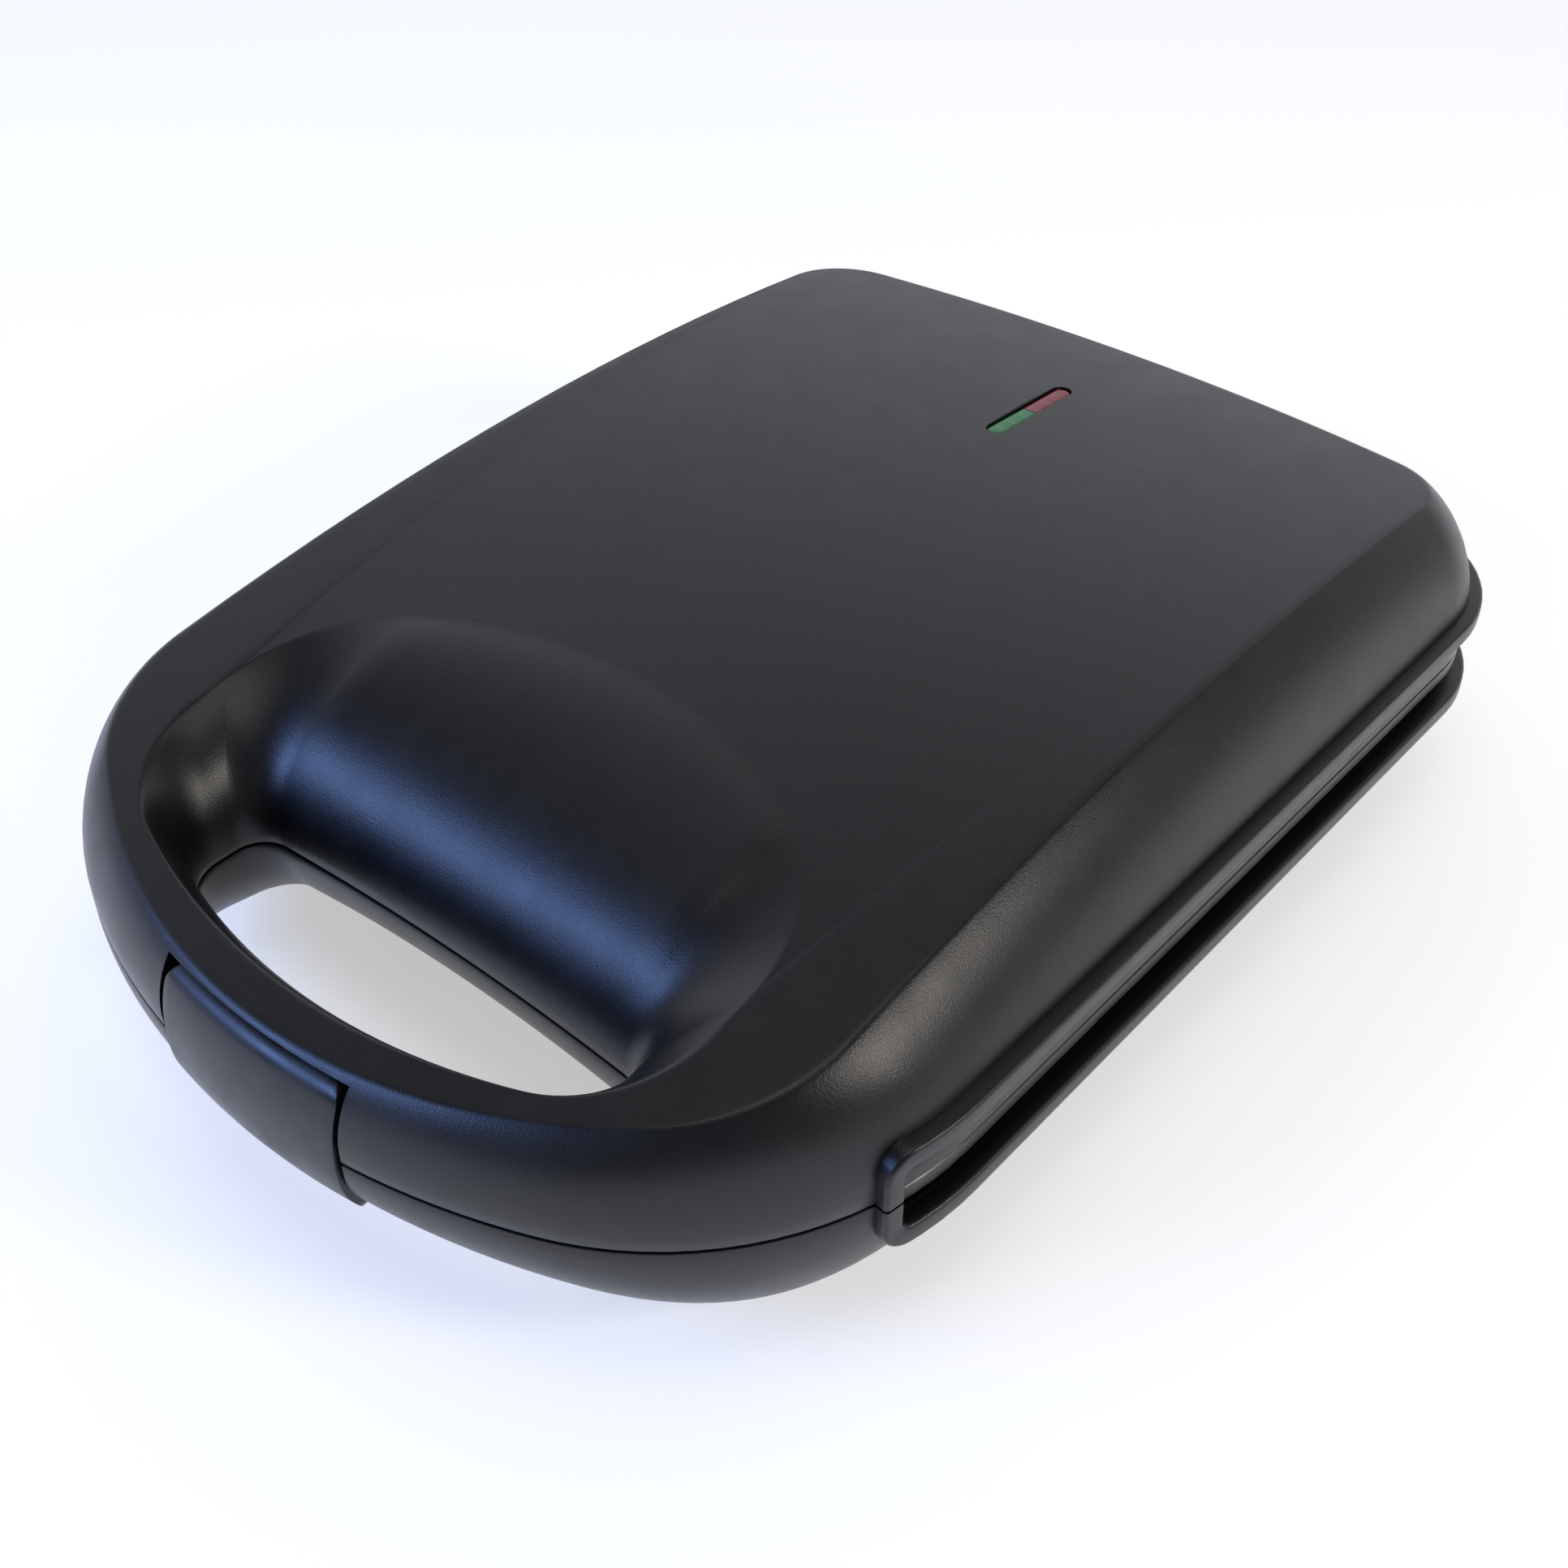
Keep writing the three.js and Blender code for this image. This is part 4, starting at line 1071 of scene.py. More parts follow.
@dataclass
class Hinge:
    """The rear hinge: two knuckles on the lid, four ears on the base and two pins."""

    x: float = 70.0
    knuckle_radius: float = 6.5
    knuckle_width: float = 22.0
    ear_width: float = 8.0
    ear_gap: float = 0.5
    pin_radius: float = 2.0
    arm_reach: float = 22.0
    arm_low: float = 12.0
    arm_high: float = 17.0
    low_angle: float = QUARTER / 9
    high_angle: float = QUARTER * 2 / 3
    edge: float = 0.5
    # a pin's domed end: millimetres from its tip, and share of its radius
    dome: tuple[tuple[float, float], ...] = ((0.0, 0.6), (0.15, 0.85), (0.45, 1.0))

    @property
    def ear_from(self) -> float:
        """Where an ear begins, from the middle of the knuckle."""
        return self.knuckle_width / 2 + self.ear_gap

    def arm(self, x0: float, x1: float, half: Half) -> Piece:
        """Makes one arm with its knuckle.

        Args:
            x0: where it begins.
            x1: where it ends.
            half: the half that it belongs to.

        Returns:
            The object.
        """
        r = self.knuckle_radius
        profile = [
            (HINGE_Y - self.arm_reach, self.arm_low),
            (HINGE_Y - r * math.cos(self.low_angle), -r * math.sin(self.low_angle)),
            (HINGE_Y + r / 2, r * math.sin(self.high_angle)),
            (HINGE_Y - self.arm_reach, self.arm_high),
        ]
        arm = loft("arm", [np.array([(x, y, z) for y, z in profile]) for x in (x0, x1)], half)
        knuckle = lathe("knuckle", [(x0, r), (x1, r)], (0, HINGE_Y, 0), ALONG_X, half, 64)
        return round_edges(combine(arm, [knuckle], "UNION"), self.edge, 2, 50.0)

    def arms(self, half: Half) -> list[Piece]:
        """Makes a half's arms: the lid's in the middle, the base's on both sides of it."""
        ear_to = self.ear_from + self.ear_width
        spans = [(-ear_to, -self.ear_from), (self.ear_from, ear_to)]
        if half is Half.LID:
            spans = [(-self.knuckle_width / 2, self.knuckle_width / 2)]
        made = []
        for side in Side:
            middle = side.value * self.x
            made += [self.arm(middle + start, middle + end, half) for start, end in spans]
        return made

    def pin(self, side: Side, grown: float, half: Half, name: str = "hinge_pin") -> Piece:
        """Makes a pin with slightly domed ends, or with a grown radius its hole.

        Args:
            side: the side that it is on.
            grown: how far it is pushed out all round.
            half: the half that it belongs to.
            name: the piece's name.

        Returns:
            The object.
        """
        reach = self.ear_from + self.ear_width + grown
        radius = self.pin_radius + grown
        ends = [(0.0, radius)] if grown else [(p, share * radius) for p, share in self.dome]
        profile = [(-reach + p, r) for p, r in ends] + [(reach - p, r) for p, r in reversed(ends)]
        return lathe(name, profile, (side.value * self.x, HINGE_Y, 0), ALONG_X, half, 32)

    def build(self) -> None:
        """Makes the pins."""
        for side in Side:
            node = f"hinge_pin_{side.name.lower()}"
            settle(self.pin(side, 0.0, Half.LID, f"{node}_fine"), Finishes.STEEL, "base", node)


HINGE = Hinge()
POSTS = [(-45.0, -103.5), (45.0, -103.5), (-45.0, 175.0), (45.0, 175.0)]


@dataclass
class FrameScrews:
    """The screws that hold the inner frames to the shells, each with a pan head and a cross recess."""

    radius: float = 1.5
    head: float = 3.0
    head_sheet: float = 2.0
    length: float = 12.0
    post_radius: float = 3.5
    land_top: float = 3.2
    point: float = 2.2
    point_radius: float = 0.3
    cross: tuple[float, float] = (1.75, 0.38)
    cross_depth: float = 1.1
    # the pan head: millimetres from its top, and share of its radius
    pan: tuple[tuple[float, float], ...] = ((0.0, 0.55), (0.12, 0.8), (0.5, 0.96), (0.9, 1.0))

    @property
    def low(self) -> float:
        """The height of the head's top, which faces the closing plane."""
        return self.land_top - self.head_sheet

    def hole(self, x: float, y: float, half: Half) -> Piece:
        """Makes the tool for a screw's hole."""
        tip = self.low + self.length + CLEARANCE
        wide, slim = self.head + CLEARANCE, self.radius + CLEARANCE
        profile = [(self.low - CLEARANCE, wide), (self.land_top, wide), (self.land_top, slim), (tip, slim)]
        return lathe("screw_hole", profile, (x, y, 0), UPWARD, half, 24)

    def build(self, half: Half) -> None:
        """Makes a half's screws."""
        tip = self.low + self.length
        profile = [(self.low + down, share * self.head) for down, share in self.pan]
        profile += [(self.land_top, self.head), (self.land_top, self.radius)]
        profile += [(tip - self.point, self.radius), (tip, self.point_radius)]
        for number, (x, y) in enumerate(POSTS, 1):
            screw = lathe(f"{half.label}_screw_{number}_fine", profile, (x, y, 0), UPWARD, half, 32)
            for a, b in (self.cross, self.cross[::-1]):
                plan = oblong(x - a, x + a, y - b, y + b)
                slit = prism("recess", plan, self.low - 1.0, self.low + self.cross_depth, half)
                combine(screw, [slit], "DIFFERENCE")
            settle(screw, Finishes.STEEL, half.body, f"{half.label}_frame_screw_{number}")


SCREWS = FrameScrews()


@dataclass
class Indicator:
    """The slot on the lid with a green and a red lens."""

    y: float = 112.5
    length: float = 40.0
    width: float = 6.0
    recess: float = 0.7
    seat: float = 2.2
    flange: float = 2.0
    flange_sheet: float = 1.2
    chamfer: float = 0.35
    tall: float = 30.0
    # a lens's domed face: millimetres in from its side, and down from its top
    dome: tuple[tuple[float, float], ...] = ((0.0, 0.7), (0.1, 0.35), (0.45, 0.12), (1.1, 0.0))

    @property
    def tilt(self) -> float:
        """The arch's slope under the slot."""
        return math.asin((self.y - LID_ARCH.crown_y) / LID_ARCH.radius)

    def on_top(self, points: Array) -> Array:
        """Tilts points drawn round the slot's middle with the arched top."""
        turn = np.array(Matrix.Rotation(-self.tilt, 3, "X"))
        return np.asarray(points) @ turn.T + (0, self.y, float(LID_ARCH.height(self.y)))

    def shape(self, by: float) -> Shape:
        """Draws the slot's outline, pushed out by a distance."""
        half_width = self.width / 2 + by
        return rounded_rect(half_width, self.length / 2 + by, half_width, steps=10)

    def stack(self, name: str, layers: Sequence[tuple[float, float]]) -> Piece:
        """Makes a piece from layers of the slot's outline, as pairs of growth and height."""
        return loft(name, [self.on_top(level(self.shape(by), z)) for by, z in layers], Half.LID)

    def slot_tools(self) -> list[Piece]:
        """Makes the tools that cut the slot, with a slight chamfer at its mouth."""
        deep, wide = -WALL - OVERRUN, self.chamfer
        return [
            self.stack("slot", [(0.0, deep), (0.0, OVERRUN)]),
            self.stack("slot_mouth", [(0.0, -wide), (wide, 0.0), (wide, OVERRUN)]),
            self.stack("slot_seat", [(self.flange, deep), (self.flange, -self.seat)]),
        ]

    def lens(self, name: str, front: bool) -> Piece:
        """Makes one lens: a body with a softly domed face, and a flange under the lid's wall.

        Args:
            name: the piece's name.
            front: whether it is the front half of the slot.

        Returns:
            The object.
        """
        low = -self.seat - CLEARANCE - self.flange_sheet
        face = [(-CLEARANCE - inward, -self.recess - down) for inward, down in self.dome]
        body = self.stack(name, [(-CLEARANCE, low), *face])
        wide = self.flange - CLEARANCE
        combine(body, [self.stack("lens_flange", [(wide, low), (wide, low + self.flange_sheet)])], "UNION")
        near, far = (-self.length, -CLEARANCE / 2) if front else (CLEARANCE / 2, self.length)
        reach = self.width + self.flange
        plan = oblong(-reach, reach, near, far)
        rings = [self.on_top(level(plan, z)) for z in (-self.tall, self.tall)]
        return combine(body, [loft("lens_half", rings, Half.LID)], "INTERSECT")

    def build(self) -> None:
        """Makes both lenses."""
        for name, front, finish in (("green_lens", True, Finishes.GREEN), ("red_lens", False, Finishes.RED)):
            settle(self.lens(f"{name}_fine", front), finish, "lid", name, angle=40.0)


INDICATOR = Indicator()


@dataclass
class CordGland:
    """The bush in the base's rear wall, and the boss that it sits in."""

    z: float = 22.5
    boss: float = 7.5
    boss_from: float = 176.0
    boss_to: float = 189.0
    radius: float = 5.0
    bore: float = 3.3
    flange: float = 6.5
    sheet: float = 2.0
    boss_edge: float = 0.8
    inner_edge: float = 0.6
    outer_edge: tuple[float, float] = (0.8, 0.25)
    mouth: float = 0.5
    sides: int = 48

    def along(self, name: str, radius: float, y0: float, y1: float) -> Piece:
        """Makes a round bar along Y through the boss's middle."""
        return lathe(name, [(y0, radius), (y1, radius)], (0, 0, self.z), ALONG_Y, Half.BASE, self.sides)

    def boss_piece(self) -> Piece:
        """Makes the boss."""
        boss = self.along("boss", self.boss, self.boss_from, self.boss_to)
        return round_edges(boss, self.boss_edge, 3, 50.0)

    def hole(self) -> Piece:
        """Makes the tool for the boss's hole."""
        start, end = self.boss_from - OVERRUN, self.boss_to + OVERRUN
        return self.along("gland_hole", self.radius + CLEARANCE, start, end)

    def build(self) -> None:
        """Makes the bush with rounded flanges."""
        inner = self.boss_from - CLEARANCE
        outer = self.boss_to + CLEARANCE
        inside, outside = inner - self.sheet, outer + self.sheet
        wide, ease = self.outer_edge
        profile = [
            (inside, self.bore),
            (inside, self.flange - self.inner_edge),
            (inside + self.inner_edge, self.flange),
            (inner, self.flange),
            (inner, self.radius),
            (outer, self.radius),
            (outer, self.flange),
            (outside - wide, self.flange),
            (outside - ease, self.flange - ease),
            (outside, self.flange - wide),
            (outside, self.bore + self.mouth),
            (outside - self.mouth, self.bore),
        ]
        a = TURN * np.arange(self.sides) / self.sides
        rings = []
        for y, r in profile:
            rings.append(np.column_stack([r * np.cos(a), np.full(self.sides, y), self.z + r * np.sin(a)]))
        bush = loft("cord_gland_fine", rings, Half.BASE, wrapped=True)
        settle(bush, Finishes.RUBBER, "base", "cord_gland", angle=40.0)


GLAND = CordGland()


@dataclass
class Feet:
    """The four rubber feet, each a tapered pad with a rounded rim, a shallow dish and a stem."""

    x: float = PARTING.half * 0.69
    front_y: float = -46.0
    rear_y: float = 132.0
    radius: float = 9.0
    height: float = 5.7
    taper: float = 1.4
    stem: float = 3.6
    stem_reach: float = 3.0
    stem_round: float = 0.6
    pad_round: tuple[float, float] = (0.2, 0.3)
    # the rim: millimetres up from the floor, and in from the pad's small radius
    rim: tuple[tuple[float, float], ...] = ((0.9, -0.25), (0.25, 0.2), (0.0, 0.9), (0.0, 2.2), (0.5, 3.0))
    dish: tuple[float, float] = (0.5, 0.4)

    def places(self) -> list[tuple[str, float, float]]:
        """Lists the feet's names and places."""
        rows = (("front", self.front_y), ("rear", self.rear_y))
        spots = [(row, y, side) for row, y in rows for side in Side]
        return [(f"foot_{row}_{side.name.lower()}", side.value * self.x, y) for row, y, side in spots]

    def holes(self) -> list[Piece]:
        """Makes the tools for the feet's holes."""
        crown, radius = BASE_ARCH.crown, self.stem + CLEARANCE
        span = [(crown - WALL - OVERRUN, radius), (crown + OVERRUN, radius)]
        return [lathe("foot_hole", span, (x, y, 0), UPWARD, Half.BASE, 24) for _, x, y in self.places()]

    def build(self) -> None:
        """Makes the feet."""
        crown = BASE_ARCH.crown
        end = crown + self.height
        small = self.radius - self.taper
        inside = crown - WALL - self.stem_reach
        edge, rise = self.pad_round
        profile = [
            (inside, self.stem - self.stem_round),
            (inside + self.stem_round, self.stem),
            (crown + CLEARANCE, self.stem),
            (crown + CLEARANCE, self.radius - edge),
            (crown + CLEARANCE + rise, self.radius),
            *((end - up, small - inward) for up, inward in self.rim),
            (end - self.dish[0], self.dish[1]),
        ]
        for name, x, y in self.places():
            foot = lathe(f"{name}_fine", profile, (x, y, 0), UPWARD, Half.BASE, 64)
            settle(foot, Finishes.RUBBER, "base", name)


FEET = Feet()


@dataclass
class Moulding:
    """A moulded half of the housing: outer form, window, bead, hinge arms, hollow and holes."""

    half: Half
    arch: Arch
    nodes: tuple[str, ...]
    extras: Callable[[], list[Piece]] = field(default=lambda: [])
    holes: Callable[[], list[Piece]] = field(default=lambda: [])
    post_from: float = 5.5
    post_to: float = 90.0

    def post(self, x: float, y: float) -> Piece:
        """Makes a screw's post, which stays solid in the hollow."""
        return prism("post", circle(SCREWS.post_radius, x, y, 24), self.post_from, self.post_to, self.half)

    def hollow(self) -> Piece:
        """Makes the half's hollow."""
        inner = loft("hollow", housing_rings(self.arch, -OVERRUN, WALL, INSIDE), self.half, wrapped=True)
        return combine(inner, [*(self.post(x, y) for x, y in POSTS), LATCH.seat(self.half)], "DIFFERENCE")

    def build(self) -> None:
        """Makes the half and dresses it."""
        rings = housing_rings(self.arch, EDGE_GAP, 0.0, FINE)
        skin = loft(f"{self.half.body}_skin", rings, self.half, wrapped=True)
        combine(skin, [WINDOW.cutter(self.half)], "DIFFERENCE")
        # The extras come before the bead and the arms: the solver needs this order.
        combine(skin, [*self.extras(), BEAD.build(self.half), *HINGE.arms(self.half)], "UNION")
        tools = [self.hollow(), LATCH.notch(self.half), *self.holes()]
        tools += [SCREWS.hole(x, y, self.half) for x, y in POSTS]
        tools += [HINGE.pin(side, CLEARANCE, self.half) for side in Side]
        combine(skin, tools, "DIFFERENCE")
        settle(skin, Finishes.SHELL, self.half.body, *self.nodes)


@dataclass
class PlateSizes:
    """A cooking plate's sizes, which its frame and reflector follow."""

    width: float = 232.0
    length: float = 256.0
    y: float = 38.0
    corner: float = 14.0
    gap: float = 0.6
    flange: float = 3.6
    fit: float = 1.0
    depth: float = LID_ARCH.crown * 0.232
    spacing: float = 8.0
    margin: float = 9.0
    pocket_corner: float = 12.0
    draft: float = 5.0
    wall: float = 3.0
    ridge_width: float = 14.0
    ridge_crest: float = 1.6
    ridge_drop: float = 1.4
    ridge_round: float = 0.4
    ridge_flat: float = 0.6
    straight: float = 0.85
    edge: float = 0.7
    # a pocket's floor rounding: millimetres in from its wall, and up from its floor
    floor_round: tuple[tuple[float, float], ...] = ((0.4, 0.45), (1.6, 0.0))

    @property
    def pocket_half_x(self) -> float:
        """Half of a pocket's width."""
        return (self.width - 2 * self.margin - self.spacing) / 4

    @property
    def pocket_half_y(self) -> float:
        """Half of a pocket's length."""
        return (self.length - 2 * self.margin - self.spacing) / 4

    @property
    def back(self) -> float:
        """The height of the bowls' backs."""
        return self.gap + self.depth + self.wall

    def middle(self, sx: int, sy: int) -> tuple[float, float]:
        """Returns the middle of the pocket on the given sides in X and Y."""
        x = sx * (self.pocket_half_x + self.spacing / 2)
        return x, sy * (self.pocket_half_y + self.spacing / 2) + self.y

    def outline(self, by: float) -> Shape:
        """Draws the plate's outline, pushed out by a distance."""
        return rounded_rect(self.width / 2 + by, self.length / 2 + by, self.corner + by, 0, self.y, 10)


PLATE = PlateSizes()


@dataclass
class CookingPlate:
    """A cooking plate: a flange with two by two pockets, each split by a diagonal cutting ridge."""

    half: Half

    def pocket(self, sx: int, sy: int, grown: float, start: float, end: float) -> Piece:
        """Makes a pocket's form with drafted walls.

        Args:
            sx: the pocket's side in X.
            sy: the pocket's side in Y.
            grown: how far it is pushed out.
            start: the height of its mouth.
            end: the height of its floor.

        Returns:
            The object.
        """
        floor = grown - PLATE.draft
        layers = [(grown, start), (grown, PLATE.gap)]
        layers.append((mix(grown, floor, PLATE.straight), mix(PLATE.gap, end, PLATE.straight)))
        layers += [(floor - inward, end - up) for inward, up in PLATE.floor_round]
        half_x, half_y, corner = PLATE.pocket_half_x, PLATE.pocket_half_y, PLATE.pocket_corner
        rings = []
        for by, z in layers:
            plan = rounded_rect(half_x + by, half_y + by, corner + by, *PLATE.middle(sx, sy), 8)
            rings.append(level(plan, z))
        return loft("pocket", rings, self.half)

    def ridge(self, sx: int, sy: int) -> Piece:
        """Makes the diagonal ridge that is left standing in a pocket."""
        along = np.array([sx * PLATE.pocket_half_x, sy * PLATE.pocket_half_y, 0.0])
        half_length = float(np.linalg.norm(along)) + OVERRUN
        along /= np.linalg.norm(along)
        across = np.array([-along[1], along[0], 0.0])
        low = PLATE.gap + PLATE.depth + OVERRUN
        high = PLATE.gap + PLATE.ridge_drop
        crest, foot = PLATE.ridge_crest / 2, PLATE.ridge_width / 2
        shoulder = high + PLATE.ridge_round
        right = [(PLATE.ridge_flat * crest, high), (crest, shoulder), (foot, low)]
        profile = [(-a, z) for a, z in reversed(right)] + right
        centre = np.array([*PLATE.middle(sx, sy), 0.0])
        rings = []
        for s in (-half_length, half_length):
            rings.append(np.array([centre + along * s + across * a + (0, 0, z) for a, z in profile]))
        return loft("ridge", rings, self.half)

    def build(self) -> None:
        """Makes the plate with rounded pocket rims."""
        node = f"{self.half.label}_plate"
        top = PLATE.gap + PLATE.flange
        plate = prism(f"{node}_fine", PLATE.outline(0.0), PLATE.gap, top, self.half)
        corners = [(sx, sy) for sx in (-1, 1) for sy in (-1, 1)]
        bowls = [self.pocket(sx, sy, PLATE.wall, PLATE.gap, PLATE.back) for sx, sy in corners]
        combine(plate, bowls, "UNION")
        hollows = []
        for sx, sy in corners:
            hollow = self.pocket(sx, sy, 0.0, -OVERRUN, PLATE.gap + PLATE.depth)
            hollows.append(combine(hollow, [self.ridge(sx, sy)], "DIFFERENCE"))
        combine(plate, hollows, "DIFFERENCE")
        round_edges(plate, PLATE.edge, 3, 30.0)
        settle(plate, Finishes.NONSTICK, self.half.body, node, angle=40.0)


@dataclass
class InnerFrame:
    """A half's inner frame: land, rounded lip in the window, upstand and plate ledge."""

    half: Half
    frame_gap: float = 0.2
    lip_inset: float = 0.5
    lip_top: float = 5.2
    lip_round: float = 1.1
    lip_foot: float = 0.3
    lip_steps: int = 6
    land_top: float = 3.2
    land_fit: float = 1.7
    upstand_inset: float = 5.0
    upstand_wall: float = 2.0
    upstand_top: float = 12.5
    upstand_reach: float = 10.0
    ledge: float = 4.0
    ledge_wall: float = 5.0
    ledge_top: float = 7.0
    keep_span: tuple[float, float] = (-1.0, 40.0)

    def keep_rear(self, name: str, front: float) -> Piece:
        """Makes the tool that keeps only what lies behind a line."""
        reach = PARTING.half + OVERRUN
        return prism(name, oblong(-reach, reach, front, PARTING.rear), *self.keep_span, self.half)

    def lip(self) -> Piece:
        """Makes the lip with a rounded upper edge and a small round at the closing plane."""
        r = self.lip_round
        layers = [(self.lip_inset + self.lip_foot, self.frame_gap)]
        layers.append((self.lip_inset, self.frame_gap + self.lip_foot))
        for a in np.linspace(0, QUARTER, self.lip_steps):
            layers.append((self.lip_inset + r * (1 - math.cos(a)), self.lip_top - r + r * math.sin(a)))
        lip = loft("lip", [level(PARTING.inset(by).ring(FINE), z) for by, z in layers], self.half)
        return combine(lip, [self.keep_rear("lip_keep", WINDOW.front + CLEARANCE)], "INTERSECT")

    def upstand(self) -> Piece:
        """Makes the wall that stands behind the lip."""
        outer = PARTING.inset(self.upstand_inset).ring(FINE)
        wall = prism("upstand", outer, self.frame_gap, self.upstand_top, self.half)
        inner = PARTING.inset(self.upstand_inset + self.upstand_wall).ring(FINE)
        core = prism("upstand_core", inner, self.land_top, self.upstand_top + OVERRUN, self.half)
        combine(wall, [core], "DIFFERENCE")
        keep = self.keep_rear("upstand_keep", WINDOW.front - self.upstand_reach)
        return combine(wall, [keep], "INTERSECT")

    def build(self) -> None:
        """Makes the frame."""
        node = f"{self.half.body}_frame"
        deep, top = -OVERRUN, self.ledge_top + OVERRUN
        land = PARTING.inset(WALL + CLEARANCE).ring(FINE)
        piece = prism(f"{node}_fine", land, self.frame_gap, self.land_top, self.half)
        collar = prism("collar", PLATE.outline(self.ledge_wall), self.frame_gap, self.ledge_top, self.half)
        combine(piece, [self.lip(), self.upstand(), collar], "UNION")
        seat_top = PLATE.gap + PLATE.flange + CLEARANCE
        size = (PLATE.width / 2 - self.ledge, PLATE.length / 2 - self.ledge)
        opening = rounded_rect(*size, PLATE.corner - self.ledge, 0, PLATE.y)
        hole = HOLE.inset(-WALL - self.land_fit).ring(FINE)
        tools = [
            prism("seat", PLATE.outline(PLATE.fit), deep, seat_top, self.half),
            prism("opening", opening, deep, top, self.half),
            prism("hand_hole", hole, deep, top, self.half),
            LATCH.seat(self.half),
        ]
        for x, y in POSTS:
            tools.append(SCREWS.hole(x, y, self.half))
            plan = circle(SCREWS.head + CLEARANCE, x, y, 32)
            tools.append(prism("head_hole", plan, deep, self.land_top - SCREWS.head_sheet, self.half))
        combine(piece, tools, "DIFFERENCE")
        settle(piece, Finishes.FRAME, self.half.body, node)


@dataclass
class HiddenParts:
    """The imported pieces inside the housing, which keep their own shapes and get their finishes."""

    finishes: dict[str, Finishes] = field(
        default_factory=lambda: {
            "upper_heater": Finishes.SHEATH,
            "lower_heater": Finishes.SHEATH,
            "upper_heater_clamp": Finishes.STEEL,
            "lower_heater_clamp": Finishes.STEEL,
            "upper_reflector": Finishes.ALUMINIUM,
            "lower_reflector": Finishes.ALUMINIUM,
            "green_lamp": Finishes.GLASS,
            "red_lamp": Finishes.GLASS,
            "lamp_tray": Finishes.TRAY,
            "thermostat": Finishes.CERAMIC,
            "thermal_fuse": Finishes.CERAMIC,
            "terminal_block": Finishes.CERAMIC,
            "latch_pin": Finishes.STEEL,
        }
    )

    def build(self) -> None:
        """Dresses the pieces."""
        for name, finish in self.finishes.items():
            finish.value.dress(frame["nodes"][name])
            log.info("%s: as packed", name)


# Camera, floor and light


@dataclass
class Camera:
    """The photograph's camera, in millimetres of the drawing and degrees."""

    place: tuple[float, float, float] = (290.156, -341.496, 344.346)
    azimuth: float = 40.553
    elevation: float = 39.268
    roll: float = -0.03
    lens: float = 46.56
    shift: tuple[float, float] = (0.00402, -0.00668)
    sensor: float = 36.0
    clip: tuple[float, float] = (0.02, 20.0)

    def build(self) -> None:
        """Makes the camera."""
        data = bpy.data.cameras.new("camera")
        data.sensor_width = self.sensor
        data.lens = self.lens
        data.shift_x, data.shift_y = self.shift
        data.clip_start, data.clip_end = self.clip
        camera = bpy.data.objects.new("camera", data)
        a, e = math.radians(self.azimuth), math.radians(self.elevation)
        back = Vector((math.sin(a) * math.cos(e), -math.cos(a) * math.cos(e), math.sin(e)))
        right = Vector((math.cos(a), math.sin(a), 0.0))
        up = back.cross(right)
        turn = Matrix((right, up, back)).transposed() @ Matrix.Rotation(math.radians(self.roll), 3, "Z")
        place = SITE.place(np.array([self.place]), Half.LID)[0]
        camera.matrix_world = Matrix.Translation(place) @ turn.to_4x4()
        bpy.context.scene.collection.objects.link(camera)
        bpy.context.scene.camera = camera
        log.info("camera")


@dataclass
class SoftBox:
    """One soft rectangular lamp that faces the object, in metres and watts."""

    name: str
    direction: tuple[float, float, float]
    distance: float
    size: tuple[float, float]
    power: float
    colour: str
    aim: tuple[float, float, float] = (0.0, 0.0, 0.05)

    def build(self) -> None:
        """Makes the lamp."""
        data = bpy.data.lights.new(self.name, "AREA")
        data.shape = "RECTANGLE"
        data.size, data.size_y = self.size
        data.energy = self.power
        data.color = linear(self.colour)[:3]
        lamp = bpy.data.objects.new(self.name, data)
        away = Vector(self.direction).normalized()
        lamp.location = Vector(self.aim) + away * self.distance
        lamp.rotation_mode = "QUATERNION"
        lamp.rotation_quaternion = away.to_track_quat("Z", "Y")
        bpy.context.scene.collection.objects.link(lamp)


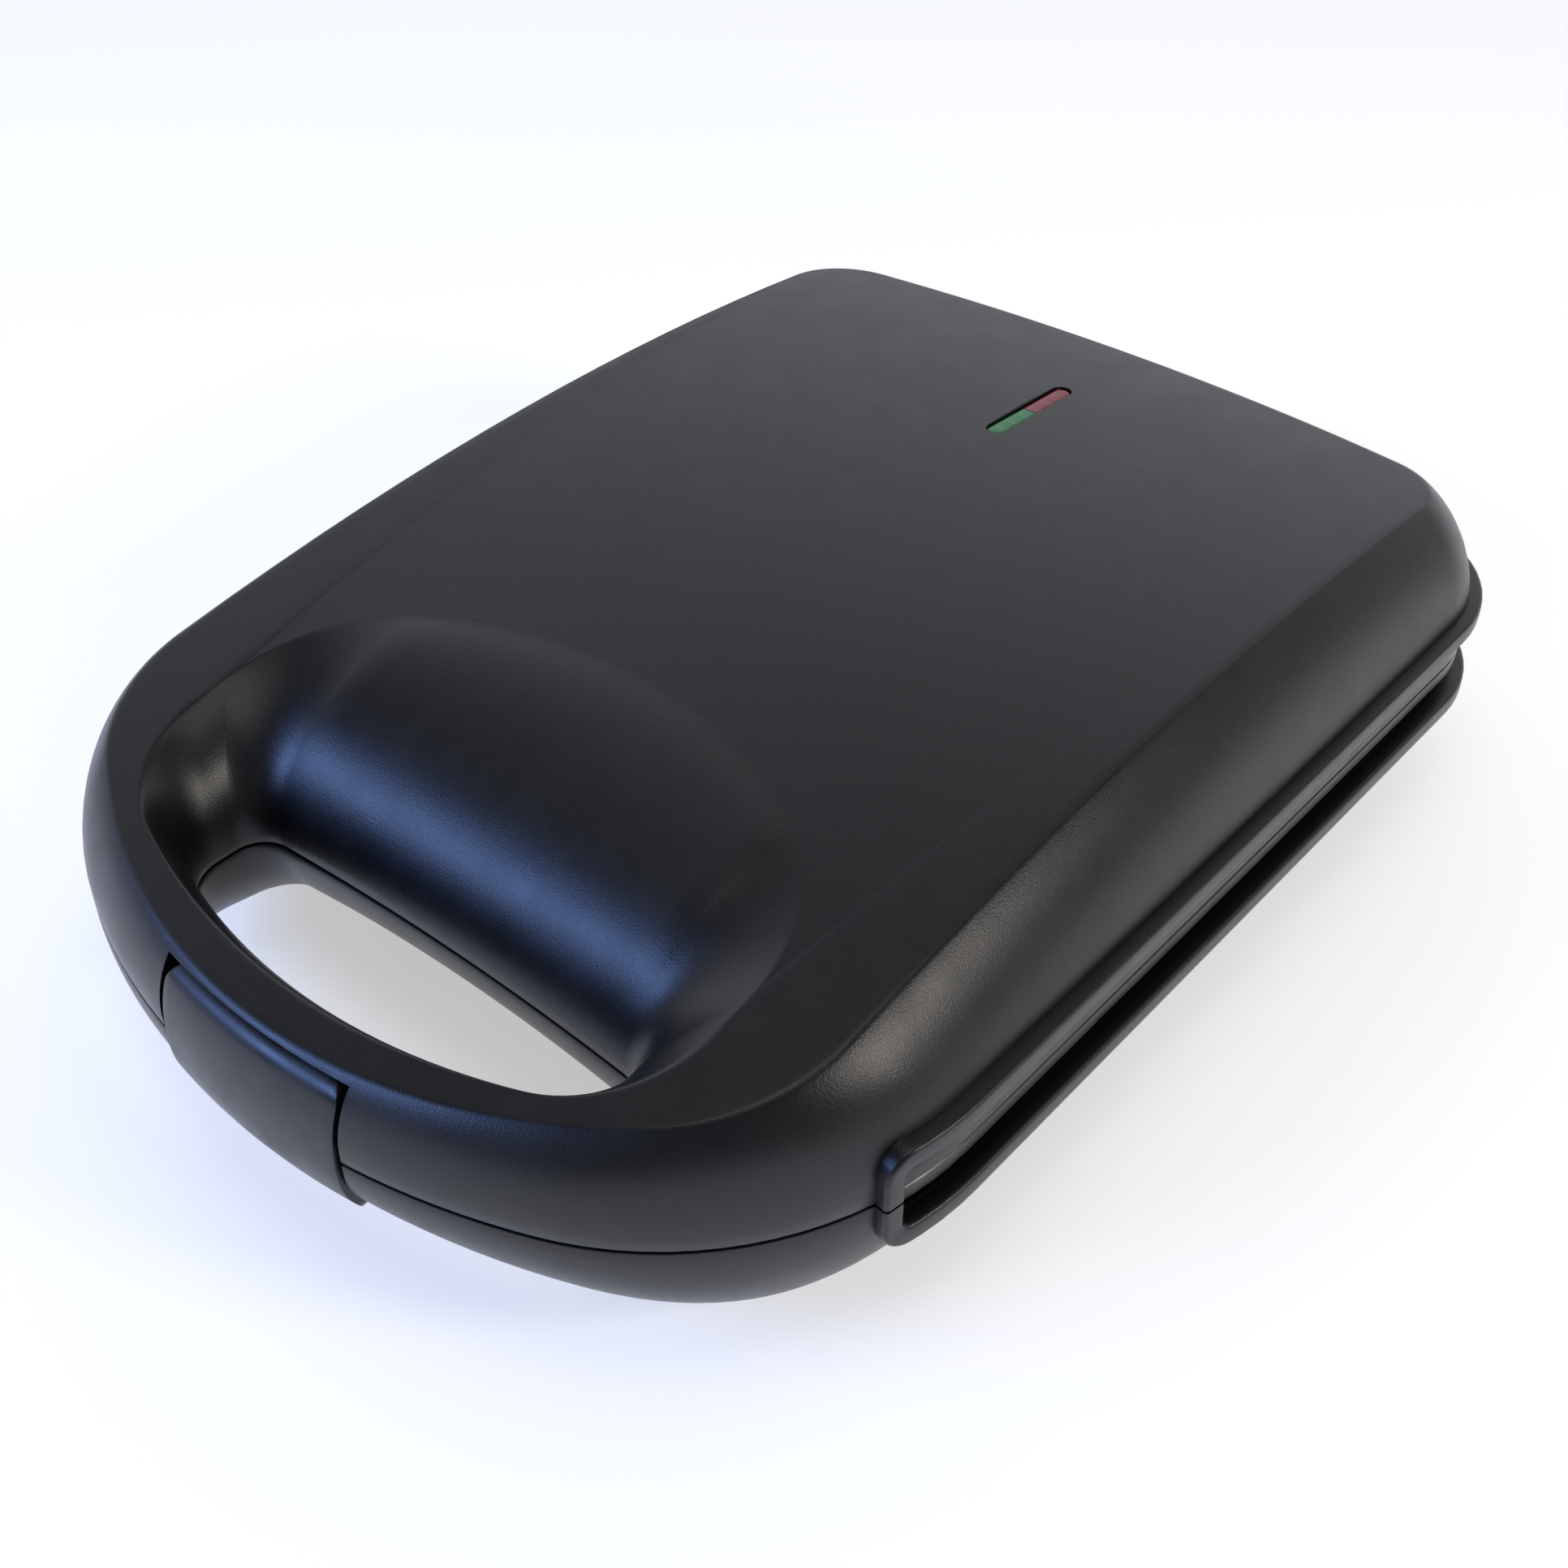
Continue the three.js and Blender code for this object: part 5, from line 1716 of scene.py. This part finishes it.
@dataclass
class Studio:
    """A pale floor in a room with one white wall, greyer ones round it and a few soft lamps."""

    floor_radius: float = 4.0
    floor_sides: int = 96
    floor_colours: tuple[str, str] = ("f4f4f4", "f6f6f6")
    floor_mottle: float = 3.0
    room: str = "f6f8ff"
    wall: float = 0.95
    dim: float = 0.2
    ceiling: float = 0.12
    wall_top: float = 30.0
    ceiling_edge: float = 68.0
    facing: tuple[float, float, float] = (-0.62, 0.78, 0.0)
    facing_span: tuple[float, float] = (0.1, 0.65)
    glow: float = 0.5
    boxes: list[SoftBox] = field(
        default_factory=lambda: [
            SoftBox("window_light", (-0.46, -0.78, 0.45), 1.6, (0.95, 0.42), 15.0, "8ab0ff"),
            SoftBox("side_light", (0.85, 0.24, 0.46), 1.6, (0.35, 0.3), 6.5, "fff8f0"),
            SoftBox("overhead_light", (0.10, -0.06, 0.99), 1.5, (0.9, 0.9), 4.0, "fff6ea"),
        ]
    )

    def world(self) -> None:
        """Fills the room with light: white from the wall behind, less from the other sides and above."""
        world = bpy.data.worlds.new("room")
        world.use_nodes = True
        tree = world.node_tree
        tree.nodes.clear()
        way = add_node(tree, "ShaderNodeTexCoord").outputs["Generated"]
        height = add_node(tree, "ShaderNodeSeparateXYZ", {"Vector": way}).outputs["Z"]
        sockets = {0: way, 1: self.facing}
        turned = add_node(tree, "ShaderNodeVectorMath", sockets, operation="DOT_PRODUCT").outputs["Value"]
        soft = {"interpolation_type": "SMOOTHSTEP"}
        side = remap(tree, turned, self.facing_span, (self.dim, self.wall), **soft)
        heights = [math.sin(math.radians(angle)) for angle in (self.wall_top, self.ceiling_edge)]
        strength = remap(tree, height, heights, (side, self.ceiling), **soft)
        light = add_node(tree, "ShaderNodeBackground", {"Color": linear(self.room), "Strength": strength})
        add_node(tree, "ShaderNodeOutputWorld", {"Surface": light.outputs[0]})
        bpy.context.scene.world = world

    def floor(self) -> None:
        """Makes the floor, a wide matt disc with a faint mottle, white to the eye and in reflections."""
        plan = circle(self.floor_radius / MM, sides=self.floor_sides)
        mesh = bpy.data.meshes.new("floor")
        mesh.from_pydata((level(plan, 0.0) * MM).tolist(), [], [list(range(len(plan)))])
        floor = bpy.data.objects.new("floor", mesh)
        bpy.context.scene.collection.objects.link(floor)
        material = bpy.data.materials.new("painted_floor")
        material.use_nodes = True
        tree = material.node_tree
        tree.nodes.clear()
        vector = add_node(tree, "ShaderNodeTexCoord").outputs["Object"]
        sockets = {"Vector": vector, "Scale": self.floor_mottle, "Detail": 2.0}
        noise = add_node(tree, "ShaderNodeTexNoise", sockets).outputs["Fac"]
        colour = blend(tree, noise, *(linear(each) for each in self.floor_colours))
        path = add_node(tree, "ShaderNodeLightPath").outputs
        seen = path["Is Camera Ray"]
        for ray in ("Is Glossy Ray", "Is Transmission Ray"):
            seen = add_node(tree, "ShaderNodeMath", {0: seen, 1: path[ray]}, operation="MAXIMUM").outputs[0]
        diffuse = add_node(tree, "ShaderNodeBsdfDiffuse", {"Color": colour})
        shown = add_node(tree, "ShaderNodeEmission", {"Color": linear("ffffff"), "Strength": self.glow})
        none = add_node(tree, "ShaderNodeEmission", {"Strength": 0.0})
        lift = add_node(tree, "ShaderNodeMixShader", {0: seen, 1: none.outputs[0], 2: shown.outputs[0]})
        both = add_node(tree, "ShaderNodeAddShader", {0: diffuse.outputs[0], 1: lift.outputs[0]})
        add_node(tree, "ShaderNodeOutputMaterial", {"Surface": both.outputs[0]})
        floor.data.materials.append(material)

    def build(self) -> None:
        """Makes the room, the floor and the lamps."""
        bpy.context.scene.view_settings.view_transform = "Standard"
        self.world()
        self.floor()
        for box in self.boxes:
            box.build()
        log.info("studio: %d lamps", len(self.boxes))


def main() -> None:
    """Builds the scene."""
    logging.basicConfig(level=logging.INFO, format="%(message)s")
    Camera().build()
    Moulding(
        Half.LID, LID_ARCH, ("lid_shell",), holes=lambda: [*INDICATOR.slot_tools(), LATCH.pin_hole()]
    ).build()
    Moulding(
        Half.BASE, BASE_ARCH, ("base_shell", "base_latch_seat"),
        extras=lambda: [GLAND.boss_piece()], holes=lambda: [GLAND.hole(), *FEET.holes()],
    ).build()
    LATCH.build()
    INDICATOR.build()
    HINGE.build()
    GLAND.build()
    FEET.build()
    for half in Half:
        InnerFrame(half).build()
        CookingPlate(half).build()
        SCREWS.build(half)
    HiddenParts().build()
    Studio().build()


if __name__ == "__main__":
    main()
